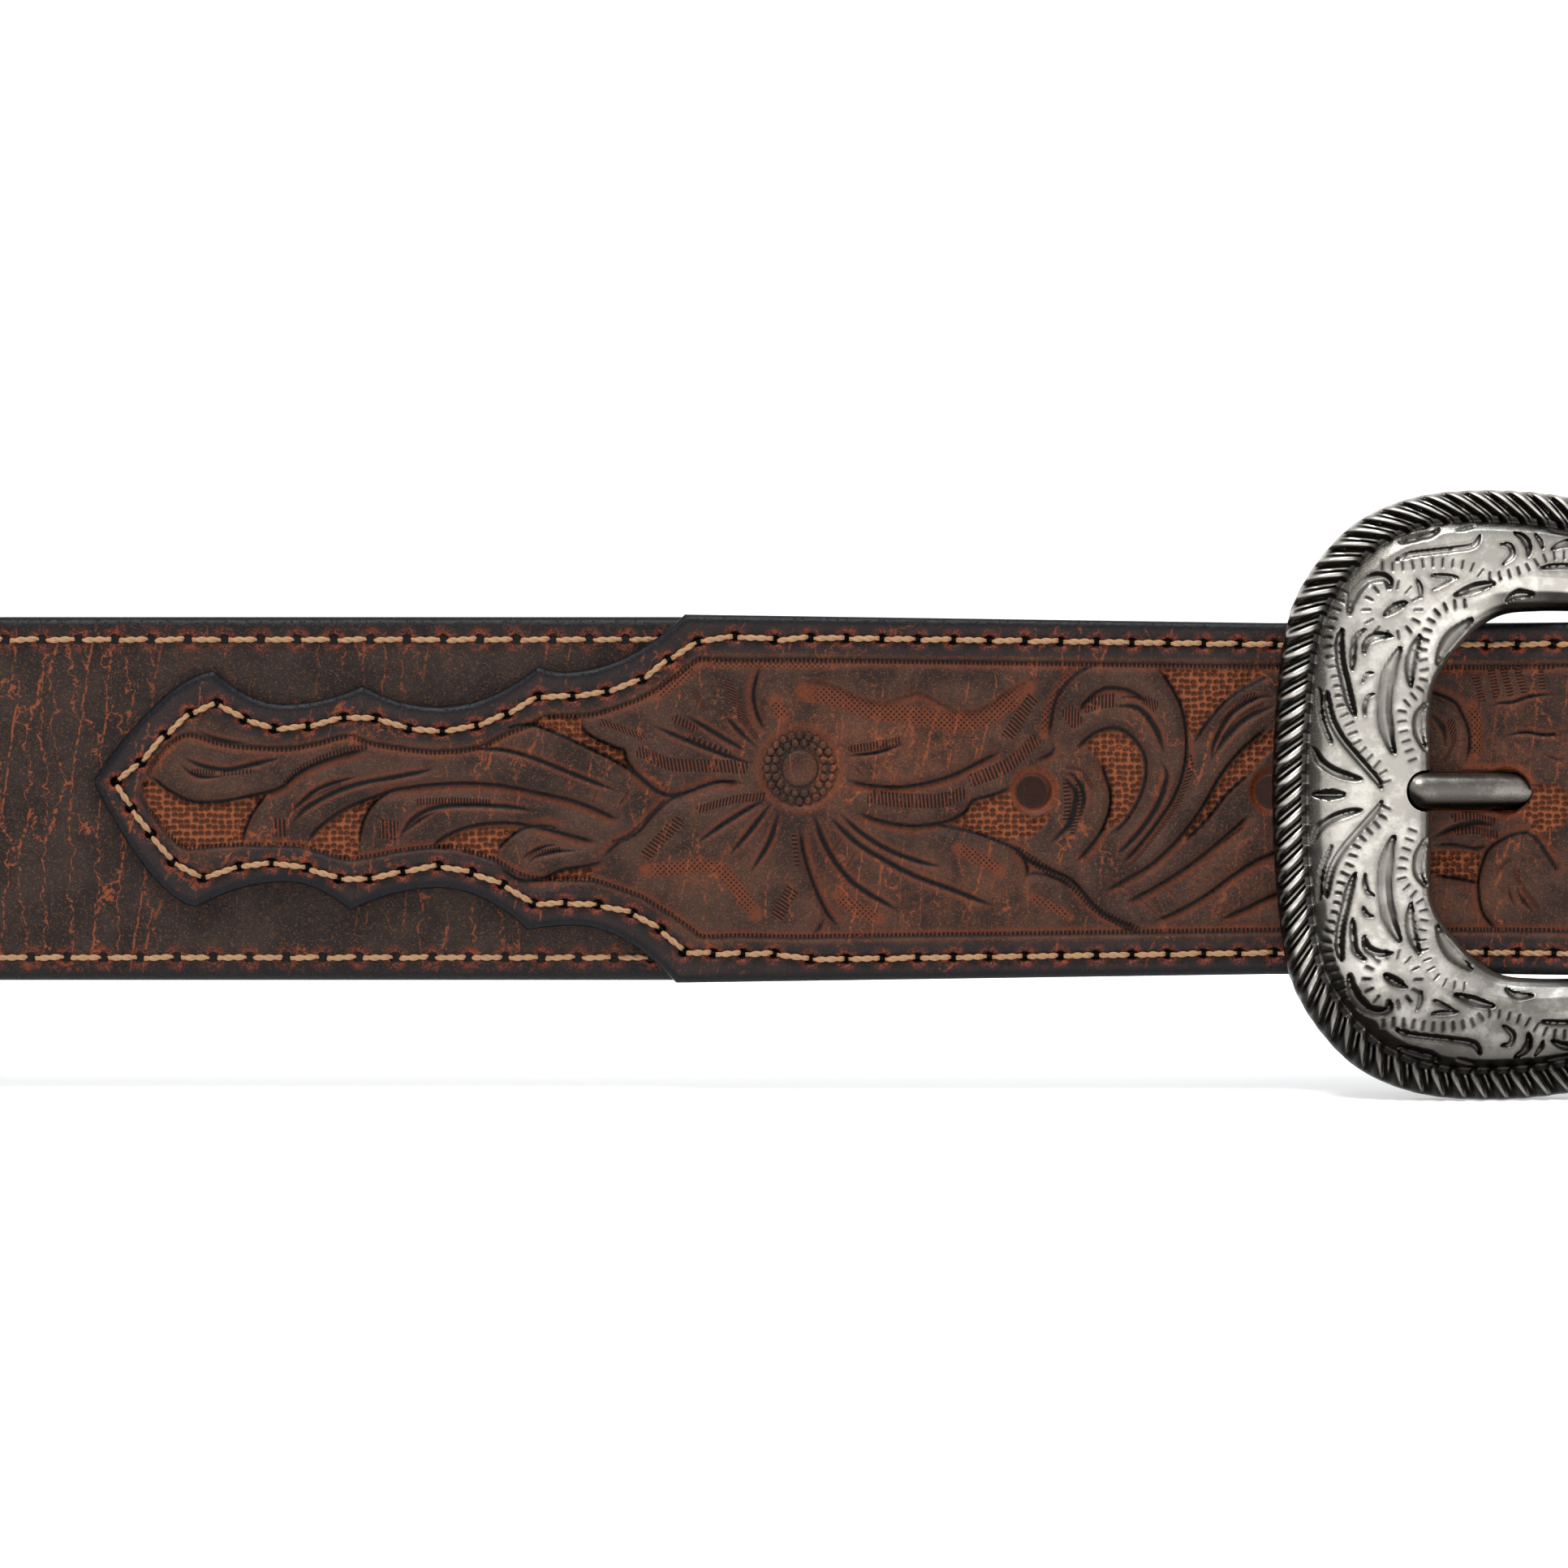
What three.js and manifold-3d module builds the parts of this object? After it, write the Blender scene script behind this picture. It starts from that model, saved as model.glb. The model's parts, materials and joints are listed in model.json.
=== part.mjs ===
// A western tooled belt, buckled and standing on its lower edge: a leather strap, a scalloped
// billet overlay, a cast buckle with a rope edge, its prong and a leather keeper.
// Millimetres. In the belt's own frame X runs along the front from the left bend to the right
// one, Y from the front face to the back of the waist, and Z up the width of the strap, with
// Z = 0 on the strap's middle line. The whole belt is tilted at the end until it stands.
import * as THREE from 'three';
import { mergeVertices } from 'three/addons/utils/BufferGeometryUtils.js';
import Module from 'manifold-3d';

const wasm = await Module();
wasm.setup();

// Clearance between neighbouring pieces
const gap = 0.3;

// Loop of the belt
const waistLength = 965;
const bendRadius = 88;
const chapeToBend = 4.6;

// Leather
const strapWidth = 38.6;
const strapThickness = 3.5;
const billetWidth = 36.8;
const billetPastHole = 152;
const tipLength = 24;
const tipPower = 2.4;
const tipBlunting = 0.005;
const edgeRounding = 0.9;
const roundingShare = 0.8;
const chapeTrim = 0.3;
const chapeThickness = 2.2;
const chapeReturn = 34;
const chapeSettle = 12;
const skiveStart = 1.4;
const skiveLength = 14;

// Billet overlay
const overlayThickness = 1.4;
const overlayRounding = 0.5;
const overlayProud = 0.2;
const overlayReach = 124.6;
const scallopLength = 62.7;
const tipRise = 1.9;
const pointFullness = 1.65;
const pointBlunting = 0.006;

// Punched holes, in a row a little above the strap's middle line
const holePlay = 0.1;
const holeRise = 0.8;
const holePitch = 25.4;
const holeCount = 5;
const holeSides = 16;

// Buckle frame
const frameWidth = 50.5;
const sideBarWidth = 12.75;
const buckleRise = 0.4;
const strapPlay = 0.75;
const frameThickness = 4.7;
const frameBow = 2.2;
const endBarWidth = 16.7;
const heelBarDiameter = 4;
const heelBarInset = 3.3;
const rampInset = 5.1;
const rampToFold = 4.6;
const lugWidth = 5;
const lugHeight = 3;
const lugSink = 1;
const grooveWidth = 0.7;
const ropeWidth = 3;
const ropePitch = 2.28;
const ropeRelief = 0.35;
const ropeShare = 0.8;
const ropeRunIn = 2;

// Prong
const prongDiameter = 3.9;
const prongOverlap = 3;
const prongBlunting = 0.12;
const holeInset = 9.1;
const notchFloor = 1.1;
const eyeWall = 1.5;
const eyeWidth = 5.4;

// Keeper
const keeperWidth = 12;
const keeperThickness = 1.8;
const keeperCorner = 2;

// How many sections or sides the curved stretches get
const bendStep = 11.4;
const loopBendSections = 24;
const wideningSections = 6;
const rampSections = 8;
const tipSections = 7;
const tipSpacing = 1.7;
const scallopSections = 44;
const settleSections = 5;
const foldSections = 8;
const skiveSections = 3;
const prongRounds = 4;
const prongSides = 12;
const eyeSides = 24;
const heelBarSides = 16;
const keeperCornerSides = 4;

// Outline of the overlay's scalloped end, above and below the strap's middle line. Along is a
// share of scallopLength from the point, and out is a share of the strap's half width.
const upperScallops = [
  { along: 0.205, out: 0.695, valley: false },
  { along: 0.325, out: 0.515, valley: true },
  { along: 0.455, out: 0.615, valley: false },
  { along: 0.585, out: 0.5, valley: true },
  { along: 0.752, out: 0.72, valley: false },
  { along: 0.795, out: 0.69, valley: true },
  { along: 1, out: 1, valley: false },
];
const lowerScallops = [
  { along: 0.175, out: 0.59, valley: false },
  { along: 0.325, out: 0.455, valley: true },
  { along: 0.435, out: 0.61, valley: false },
  { along: 0.583, out: 0.487, valley: true },
  { along: 0.735, out: 0.715, valley: false },
  { along: 0.81, out: 0.69, valley: true },
  { along: 0.985, out: 1, valley: false },
];

// Half outline of the buckle, from the middle of the end bar to the heel. Outer points lie at a
// share of frameWidth, and up by shares of half the opening and of sideBarWidth. Inner points
// are shares of the opening, from the end bar to the heel bar, and of half its height.
const frameSections = [
  { outerAlong: 0, outerUp: 0, outerBar: 0, innerAlong: 0, innerUp: 0 },
  { outerAlong: 0.006, outerUp: 0.415, outerBar: 0, innerAlong: 0, innerUp: 0.31 },
  { outerAlong: 0.024, outerUp: 0.84, outerBar: 0, innerAlong: 0.007, innerUp: 0.56 },
  { outerAlong: 0.046, outerUp: 1, outerBar: 0.08, innerAlong: 0.04, innerUp: 0.685 },
  { outerAlong: 0.099, outerUp: 1, outerBar: 0.43, innerAlong: 0.09, innerUp: 0.79 },
  { outerAlong: 0.176, outerUp: 1, outerBar: 0.733, innerAlong: 0.165, innerUp: 0.907 },
  { outerAlong: 0.293, outerUp: 1, outerBar: 0.937, innerAlong: 0.25, innerUp: 0.98 },
  { outerAlong: 0.45, outerUp: 1, outerBar: 1, innerAlong: 0.37, innerUp: 1 },
  { outerAlong: 0.624, outerUp: 1, outerBar: 0.945, innerAlong: 0.535, innerUp: 1 },
  { outerAlong: 0.79, outerUp: 1, outerBar: 0.78, innerAlong: 0.72, innerUp: 1 },
  { outerAlong: 0.92, outerUp: 1, outerBar: 0.56, innerAlong: 0.9, innerUp: 1 },
  { outerAlong: 0.995, outerUp: 1, outerBar: 0.33, innerAlong: 1.03, innerUp: 1 },
];

// Cross-section of the buckle's body, from its inner edge to the groove by the rope. Across is
// a share of the body's width, and height is a share of frameThickness.
const bodyProfile = [
  { across: 0, height: 0.45 },
  { across: 0.1, height: 0.76 },
  { across: 0.38, height: 1 },
  { across: 0.75, height: 0.92 },
  { across: 1, height: 0.66 },
];

// Cross-section of the rope edge, from the groove to the outside. Lead is how far forward a
// strand lies there, in strands, on the way from the lower heel round to the upper one.
const ropeProfile = [
  { across: 0.1, height: 0.62, relief: 0.3, lead: 0 },
  { across: 0.4, height: 0.82, relief: 1, lead: -0.35 },
  { across: 0.8, height: 0.68, relief: 1, lead: -0.8 },
  { across: 1, height: 0.38, relief: 0.6, lead: -1.1 },
];

// Places that follow from the sizes
const chapeWidth = billetWidth - 2 * chapeTrim;
const openingHeight = billetWidth + 2 * (overlayProud + strapPlay);
const holeRun = endBarWidth + holeInset;
const heelRun = frameWidth - heelBarInset;
const tipRun = holeRun + billetPastHole;
const insideLength = waistLength + heelRun - holeRun;
const straight = (insideLength - 2 * Math.PI * (bendRadius - strapThickness)) / 2;
const frameLeft = straight / 2 - chapeToBend - chapeReturn - heelRun;
const heelBarRadius = heelBarDiameter / 2;
const foldRadius = heelBarRadius + gap;
const foldReach = foldRadius + chapeThickness + gap;
const heelX = frameLeft + heelRun;
const heelY = chapeThickness + foldRadius;
const lap = strapThickness + gap;
const rampStart = endBarWidth + rampInset;
const rampLength = heelRun - foldReach - rampToFold - rampStart;
const overlayLift = gap + overlayThickness;
const endBarBack = -overlayLift - gap;
const prongRadius = prongDiameter / 2;

// A share from 0 to 1 that starts and ends level
function smooth(share) {
  const t = THREE.MathUtils.clamp(share, 0, 1);
  return t * t * (3 - 2 * t);
}

function steps(count, place) {
  return Array.from({ length: count + 1 }, (_, index) => place(index / count));
}

// A closed body through rings of points, each ring running the same way round
function loft(rings, capOutline) {
  const size = rings[0].length;
  const last = (rings.length - 1) * size;
  const faces = [];
  for (let ring = 0; ring < rings.length - 1; ring += 1) {
    for (let corner = 0; corner < size; corner += 1) {
      const next = (corner + 1) % size;
      const here = ring * size;
      const there = here + size;
      faces.push(here + corner, there + corner, there + next);
      faces.push(here + corner, there + next, here + next);
    }
  }
  for (const [a, b, c] of THREE.ShapeUtils.triangulateShape(capOutline, [])) {
    faces.push(a, b, c);
    faces.push(last + a, last + c, last + b);
  }
  const geometry = new THREE.BufferGeometry().setFromPoints(rings.flat());
  geometry.setIndex(faces);
  return geometry;
}

function solidOf(geometry) {
  const bare = geometry.clone();
  bare.deleteAttribute('normal');
  bare.deleteAttribute('uv');
  const merged = mergeVertices(bare);
  return new wasm.Manifold(new wasm.Mesh({
    numProp: 3,
    vertProperties: new Float32Array(merged.attributes.position.array),
    triVerts: new Uint32Array(merged.index.array),
  }));
}

function geometryOf(solid) {
  const mesh = solid.getMesh();
  const geometry = new THREE.BufferGeometry();
  geometry.setAttribute('position', new THREE.BufferAttribute(mesh.vertProperties, 3));
  geometry.setIndex(new THREE.BufferAttribute(mesh.triVerts, 1));
  return geometry;
}

function box(low, high) {
  const size = high.clone().sub(low);
  const geometry = new THREE.BoxGeometry(size.x, size.y, size.z);
  const middle = low.clone().add(high).multiplyScalar(0.5);
  return geometry.translate(middle.x, middle.y, middle.z);
}

// An upright bar or ring that runs along Z
function uprightBar(radius, height, x, y, sides, rise) {
  return new THREE.CylinderGeometry(radius, radius, height, sides)
    .rotateX(Math.PI / 2)
    .translate(x, y, rise);
}

// Full width of the strap at a run, which is measured along the billet from the buckle's left
// edge. It narrows from the overlay's shoulder to the buckle and closes at the round tip.
function widthAt(run) {
  const shoulder = scallopLength - overlayReach;
  const taper = THREE.MathUtils.clamp((run - shoulder) / -shoulder, 0, 1);
  const full = THREE.MathUtils.lerp(strapWidth, billetWidth, taper);
  const short = THREE.MathUtils.clamp(1 - (tipRun - run) / tipLength, 0, 1 - tipBlunting);
  return full * Math.sqrt(1 - short ** tipPower);
}

// The middle of the strap's thickness on the billet side, which climbs over the heel bar
function billetPlace(run) {
  const x = frameLeft + run;
  const climb = lap * smooth((run - rampStart) / rampLength);
  const middle = strapThickness / 2;
  const past = Math.abs(x) - straight / 2;
  if (past <= 0) {
    return { x, y: middle - climb };
  }
  const radius = bendRadius - middle + climb;
  const turned = straight / 2 + radius * Math.sin(past / radius);
  return { x: Math.sign(x) * turned, y: bendRadius - radius * Math.cos(past / radius) };
}

// Runs at which the billet gets a section, from the left bend to the tip
function billetRuns(first) {
  const bendRun = straight / 2 - frameLeft;
  const wide = tipRun - tipLength;
  const wrapped = Math.max(1, Math.round((wide - bendRun) / bendStep));
  return [
    first,
    rampStart - 1,
    ...steps(rampSections, (share) => rampStart + rampLength * share),
    ...steps(wrapped, (share) => bendRun + (wide - bendRun) * share),
    ...steps(tipSections, (share) => tipRun - tipLength * (1 - share) ** tipSpacing).slice(1),
  ];
}

// The outward side at each section of a path, from the sections before and after it
function outwardSides(sections) {
  return sections.map((section, index) => {
    const before = sections[Math.max(index - 1, 0)];
    const after = sections[Math.min(index + 1, sections.length - 1)];
    return new THREE.Vector2(after.y - before.y, before.x - after.x).normalize();
  });
}

// A band of leather along sections that give x, y, thickness, top and bottom
function band(sections, rounding) {
  const sides = outwardSides(sections);
  const outlines = sections.map(({ thickness, top, bottom }) => {
    const half = thickness / 2;
    const round = Math.min(rounding, half * roundingShare, (top - bottom) / 4);
    return [
      [-half, bottom + round], [-half + round, bottom], [half - round, bottom],
      [half, bottom + round], [half, top - round], [half - round, top],
      [-half + round, top], [-half, top - round],
    ];
  });
  const rings = sections.map(({ x, y }, index) => outlines[index].map(([out, z]) => (
    new THREE.Vector3(x + sides[index].x * out, y + sides[index].y * out, z)
  )));
  return loft(rings, outlines[0].map(([out, z]) => new THREE.Vector2(out, z)));
}

function evenSection(place, thickness, width) {
  return { ...place, thickness, top: width / 2, bottom: -width / 2 };
}

// The folded end: a return behind, round the heel bar, then out to the full thickness
function chapeSections() {
  const leafBack = strapThickness + gap + chapeThickness / 2;
  const radius = foldRadius + chapeThickness / 2;
  const leafEnd = { x: heelX + chapeReturn, y: leafBack };
  const settle = steps(settleSections, (share) => ({
    x: heelX + chapeSettle * (1 - share),
    y: THREE.MathUtils.lerp(leafBack, heelY + radius, smooth(share)),
  }));
  const fold = steps(foldSections, (share) => ({
    x: heelX - radius * Math.sin(Math.PI * share),
    y: heelY + radius * Math.cos(Math.PI * share),
  }));
  const thin = [leafEnd, ...settle, ...fold.slice(1)];
  const thick = steps(skiveSections, (share) => {
    const thickness = THREE.MathUtils.lerp(chapeThickness, strapThickness, share);
    const place = { x: heelX + skiveStart + skiveLength * share, y: thickness / 2 };
    return evenSection(place, thickness, chapeWidth);
  });
  return [...thin.map((place) => evenSection(place, chapeThickness, chapeWidth)), ...thick];
}

// Round the right bend, along the back and round the left bend
function loopSections() {
  const radius = bendRadius - strapThickness / 2;
  const bend = (side, from) => steps(loopBendSections, (share) => ({
    x: side * straight / 2 + radius * Math.sin(from + Math.PI * share),
    y: bendRadius - radius * Math.cos(from + Math.PI * share),
  }));
  const right = bend(1, 0).map((place, index) => {
    const width = THREE.MathUtils.lerp(chapeWidth, strapWidth, Math.min(index / wideningSections, 1));
    return evenSection(place, strapThickness, width);
  });
  const left = bend(-1, Math.PI).map((place) => evenSection(place, strapThickness, strapWidth));
  return [...right, ...left];
}

function billetSections() {
  const runs = billetRuns(scallopLength - overlayReach);
  return runs.map((run) => evenSection(billetPlace(run), strapThickness, widthAt(run)));
}

// Height of one side of the scalloped end at a share along it
function scallopHeight(rows, tipHeight, share) {
  const first = rows[0];
  if (share <= first.along) {
    return first.out - (first.out - tipHeight) * (1 - share / first.along) ** pointFullness;
  }
  const next = rows.findIndex((row) => share <= row.along);
  if (next < 0) {
    return 1;
  }
  const pair = [rows[next - 1], rows[next]];
  const valley = pair.find((row) => row.valley);
  const peak = pair.find((row) => !row.valley);
  const reach = (share - valley.along) / (peak.along - valley.along);
  return valley.out + (peak.out - valley.out) * reach ** 2;
}

function overlaySections() {
  const lift = strapThickness / 2 + gap + overlayThickness / 2;
  const half = strapWidth / 2 + overlayProud;
  const rise = tipRise / half;
  const pointed = steps(scallopSections, (share) => {
    const along = THREE.MathUtils.lerp(pointBlunting, 1, share);
    return {
      run: -overlayReach + scallopLength * along,
      top: half * scallopHeight(upperScallops, rise, along),
      bottom: -half * scallopHeight(lowerScallops, -rise, along),
    };
  });
  const covered = billetRuns(scallopLength - overlayReach).slice(1).map((run) => {
    const top = widthAt(run) / 2 + overlayProud;
    return { run, top, bottom: -top };
  });
  const sections = [...pointed, ...covered];
  const sides = outwardSides(sections.map(({ run }) => billetPlace(run)));
  return sections.map(({ run, top, bottom }, index) => {
    const place = billetPlace(run);
    return {
      x: place.x + sides[index].x * lift,
      y: place.y + sides[index].y * lift,
      thickness: overlayThickness,
      top,
      bottom,
    };
  });
}

// Punches through the billet and the overlay at each hole of the row
function punches() {
  const middle = (holeCount - 1) / 2;
  const places = Array.from({ length: holeCount }, (_, index) => (index - middle) * holePitch);
  return places.filter((offset) => offset !== 0).map((offset) => {
    const run = holeRun + offset;
    const before = billetPlace(run - 1);
    const after = billetPlace(run + 1);
    const turn = Math.atan2(after.y - before.y, after.x - before.x);
    const radius = prongRadius + holePlay / 2;
    const depth = 2 * (strapThickness + overlayLift);
    const place = billetPlace(run);
    return solidOf(new THREE.CylinderGeometry(radius, radius, depth, holeSides)
      .rotateZ(turn)
      .translate(place.x, place.y, holeRise));
  });
}

// The prong's shank: a round bar with a rounded tip, from its eye to the end bar's notch
function prongShank(radius) {
  const tip = new THREE.Vector2(
    frameLeft + endBarWidth - prongOverlap - radius + prongRadius,
    endBarBack - notchFloor - gap - prongRadius,
  );
  const heel = new THREE.Vector2(heelX - foldRadius - gap, heelY - heelBarRadius / 2);
  const way = heel.clone().sub(tip).normalize();
  const across = new THREE.Vector2(-way.y, way.x);
  const length = heel.distanceTo(tip);
  const round = steps(prongRounds, (share) => ({
    along: radius * (1 - Math.cos(share * Math.PI / 2)),
    size: radius * Math.max(Math.sin(share * Math.PI / 2), prongBlunting),
  }));
  const rings = [...round, { along: length, size: radius }].map(({ along, size }) => (
    Array.from({ length: prongSides }, (_, corner) => {
      const angle = -corner / prongSides * 2 * Math.PI;
      const middle = tip.clone().addScaledVector(way, along);
      const point = middle.addScaledVector(across, size * Math.cos(angle));
      return new THREE.Vector3(point.x, point.y, holeRise + size * Math.sin(angle));
    })
  ));
  const outline = rings[0].map((_, corner) => {
    const angle = corner / prongSides * 2 * Math.PI;
    return new THREE.Vector2(Math.cos(angle), Math.sin(angle));
  });
  return loft(rings, outline);
}

function makeStrap() {
  const sections = [...chapeSections(), ...loopSections(), ...billetSections()];
  const slotHalf = eyeWidth / 2 + gap;
  const slot = box(
    new THREE.Vector3(heelX - foldReach, -gap / 2, holeRise - slotHalf),
    new THREE.Vector3(heelX + foldRadius + eyeWall + gap, heelY + foldReach, holeRise + slotHalf),
  );
  const body = solidOf(band(sections, edgeRounding));
  const cuts = [solidOf(slot), solidOf(prongShank(prongRadius + gap)), ...punches()];
  return geometryOf(cuts.reduce((rest, cut) => rest.subtract(cut), body));
}

function makeOverlay() {
  const cuts = [solidOf(prongShank(prongRadius + gap / 2)), ...punches()];
  const body = solidOf(band(overlaySections(), overlayRounding));
  return geometryOf(cuts.reduce((rest, cut) => rest.subtract(cut), body));
}

function makeProng() {
  const ring = solidOf(uprightBar(foldRadius + eyeWall, eyeWidth, heelX, heelY, eyeSides, holeRise));
  const bore = solidOf(uprightBar(foldRadius, 2 * eyeWidth, heelX, heelY, eyeSides, holeRise));
  return geometryOf(solidOf(prongShank(prongRadius)).add(ring).subtract(bore));
}

// A curve through half the buckle's outline and its mirror image, from heel to heel
function mirroredCurve(upper) {
  const lower = upper.slice(1).map((point) => new THREE.Vector3(point.x, 0, -point.z)).reverse();
  return new THREE.CatmullRomCurve3([...lower, ...upper], false, 'centripetal');
}

// A point of the plate, across from its inner edge and up from its back, in the belt's frame
function platePoint({ outside, inside }, across, height) {
  const way = outside.clone().sub(inside).normalize();
  const place = inside.clone().addScaledVector(way, across);
  const bowed = frameBow * smooth((place.x - endBarWidth) / (heelRun - endBarWidth));
  return new THREE.Vector3(frameLeft + place.x, endBarBack + bowed - height, buckleRise + place.z);
}

// The cast plate, with two sections for each strand of the rope: one on it and one between
function framePlate() {
  const outer = mirroredCurve(frameSections.map(({ outerAlong, outerUp, outerBar }) => (
    new THREE.Vector3(outerAlong * frameWidth, 0, outerUp * openingHeight / 2 + outerBar * sideBarWidth)
  )));
  const inner = mirroredCurve(frameSections.map(({ innerAlong, innerUp }) => {
    const along = THREE.MathUtils.lerp(endBarWidth, heelRun, innerAlong);
    return new THREE.Vector3(along, 0, innerUp * openingHeight / 2);
  }));
  const strands = Math.round(outer.getLength() / ropePitch);
  const edgesAt = (share) => {
    const t = outer.getUtoTmapping(THREE.MathUtils.clamp(share, 0, 1));
    return { outside: outer.getPoint(t), inside: inner.getPoint(t) };
  };
  const rings = Array.from({ length: strands * 2 + 1 }, (_, index) => {
    const share = index / (strands * 2);
    const grown = Math.min(1, share * strands / ropeRunIn, (1 - share) * strands / ropeRunIn);
    const edges = edgesAt(share);
    const width = edges.outside.distanceTo(edges.inside);
    const fitted = Math.min(1, width * ropeShare / (ropeWidth + grooveWidth));
    const body = width - (ropeWidth + grooveWidth) * fitted;
    const front = bodyProfile.map(({ across, height }) => (
      platePoint(edges, across * body, height * frameThickness)
    ));
    const rope = ropeProfile.map(({ across, height, relief, lead }) => {
      const slanted = edgesAt(share + lead * grown / strands);
      const reach = slanted.outside.distanceTo(slanted.inside) - ropeWidth * fitted * (1 - across);
      const swell = ropeRelief * relief * grown * (index % 2 ? 1 : -1);
      return platePoint(slanted, reach, height * frameThickness + swell);
    });
    return [...front, ...rope, platePoint(edges, width - gap, 0), platePoint(edges, gap, 0)];
  });
  const cap = rings[0].map((point) => new THREE.Vector2(-point.y, -point.z));
  return loft(rings, cap);
}

function makeFrame() {
  const plate = solidOf(framePlate());
  const barLength = openingHeight + lugHeight;
  const bar = solidOf(uprightBar(heelBarRadius, barLength, heelX, heelY, heelBarSides, buckleRise));
  const lugs = [1, -1].map((side) => {
    const near = buckleRise + side * (openingHeight / 2 + gap);
    const far = buckleRise + side * (openingHeight / 2 + lugHeight);
    return solidOf(box(
      new THREE.Vector3(heelX - lugWidth / 2, endBarBack + frameBow - lugSink, Math.min(near, far)),
      new THREE.Vector3(heelX + lugWidth / 2, heelY + heelBarRadius, Math.max(near, far)),
    ));
  });
  const notch = solidOf(prongShank(prongRadius + gap));
  return geometryOf(plate.add(bar).add(lugs[0]).add(lugs[1]).subtract(notch));
}

function roundedRectangle(shape, left, bottom, right, top, corner) {
  shape.moveTo(left + corner, bottom);
  shape.lineTo(right - corner, bottom);
  shape.absarc(right - corner, bottom + corner, corner, -Math.PI / 2, 0);
  shape.absarc(right - corner, top - corner, corner, 0, Math.PI / 2);
  shape.absarc(left + corner, top - corner, corner, Math.PI / 2, Math.PI);
  shape.absarc(left + corner, bottom + corner, corner, Math.PI, 1.5 * Math.PI);
  return shape;
}

// The keeper wraps the chape's two leaves, the billet and its overlay
function makeKeeper() {
  const half = Math.max(billetWidth / 2 + overlayProud, chapeWidth / 2) + gap;
  const front = -lap - overlayLift - gap;
  const back = strapThickness + gap + chapeThickness + gap;
  const wall = keeperThickness;
  const outline = roundedRectangle(
    new THREE.Shape(), front - wall, -half - wall, back + wall, half + wall, keeperCorner,
  );
  outline.holes.push(roundedRectangle(new THREE.Path(), front, -half, back, half, gap));
  return new THREE.ExtrudeGeometry(outline, {
    depth: keeperWidth, bevelEnabled: false, curveSegments: keeperCornerSides,
  })
    .applyMatrix4(new THREE.Matrix4().makeBasis(
      new THREE.Vector3(0, 1, 0), new THREE.Vector3(0, 0, 1), new THREE.Vector3(1, 0, 0),
    ))
    .translate(heelX + (chapeSettle + chapeReturn - keeperWidth) / 2, 0, 0);
}

function leather(color) {
  return new THREE.MeshStandardMaterial({ color, roughness: 0.6, metalness: 0 });
}

function silver(color) {
  return new THREE.MeshStandardMaterial({ color, roughness: 0.35, metalness: 1 });
}

const belt = new THREE.Group();
for (const [name, geometry, material] of [
  ['strap', makeStrap(), leather(0x3a2c26)],
  ['billet_overlay', makeOverlay(), leather(0x6b3a20)],
  ['buckle_frame', makeFrame(), silver(0xa9a294)],
  ['buckle_prong', makeProng(), silver(0xb5aea0)],
  ['keeper_loop', makeKeeper(), leather(0x33261f)],
]) {
  const mesh = new THREE.Mesh(geometry, material);
  mesh.name = name;
  belt.add(mesh);
}

// The buckle hangs below the strap, so the belt leans back on the strap's rear edge
const overhang = openingHeight / 2 + sideBarWidth - buckleRise - strapWidth / 2;
const ropeOuter = ropeProfile[ropeProfile.length - 1];
const buckleFoot = endBarBack - ropeOuter.height * frameThickness;
const strapFoot = 2 * bendRadius - edgeRounding;
belt.rotation.x = -Math.atan2(overhang, strapFoot - buckleFoot);
belt.updateMatrixWorld(true);
const bounds = new THREE.Box3().setFromObject(belt, true);
const middle = bounds.getCenter(new THREE.Vector3());
belt.position.set(-middle.x, -middle.y, -bounds.min.z);

const stand = new THREE.Group();
stand.add(belt);

export default stand;
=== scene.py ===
"""A western tooled belt, buckled: tooled overlay, stitches, engraved buckle and leather finish.

Lengths are millimetres in the belt's own frame: X along the front, Y from the front face to the
back of the waist, Z up the strap's width with Z = 0 on its middle line. A run is measured along
the billet from the buckle's left edge. to_world() turns places into the frame's metres.
"""

import json
import math

import bpy
import numpy as np
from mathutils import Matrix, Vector


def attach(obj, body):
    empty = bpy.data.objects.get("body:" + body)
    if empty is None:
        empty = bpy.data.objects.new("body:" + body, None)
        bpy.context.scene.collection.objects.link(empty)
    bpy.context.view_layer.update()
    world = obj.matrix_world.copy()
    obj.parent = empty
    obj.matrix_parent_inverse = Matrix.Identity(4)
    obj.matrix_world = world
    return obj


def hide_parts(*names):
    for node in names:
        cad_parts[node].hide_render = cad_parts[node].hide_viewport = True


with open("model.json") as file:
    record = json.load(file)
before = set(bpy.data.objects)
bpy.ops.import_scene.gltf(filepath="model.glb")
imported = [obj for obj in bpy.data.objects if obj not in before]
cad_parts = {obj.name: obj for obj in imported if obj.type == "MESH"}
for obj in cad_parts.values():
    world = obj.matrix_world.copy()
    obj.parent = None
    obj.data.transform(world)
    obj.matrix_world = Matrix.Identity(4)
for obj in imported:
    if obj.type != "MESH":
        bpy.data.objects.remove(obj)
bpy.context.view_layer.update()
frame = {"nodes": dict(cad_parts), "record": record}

MM = 0.001
GAP = 0.3

# Loop and leather
WAIST_LENGTH = 965
BEND_RADIUS = 88
CHAPE_TO_BEND = 4.6
STRAP_WIDTH = 38.6
STRAP_THICKNESS = 3.5
BILLET_WIDTH = 36.8
BILLET_PAST_HOLE = 152
TIP_LENGTH = 24
TIP_POWER = 2.4
EDGE_ROUNDING = 1.1
CHAPE_TRIM = 0.3
CHAPE_THICKNESS = 2.2
CHAPE_RETURN = 34
CHAPE_SETTLE = 12
SKIVE_LENGTH = 14

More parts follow.
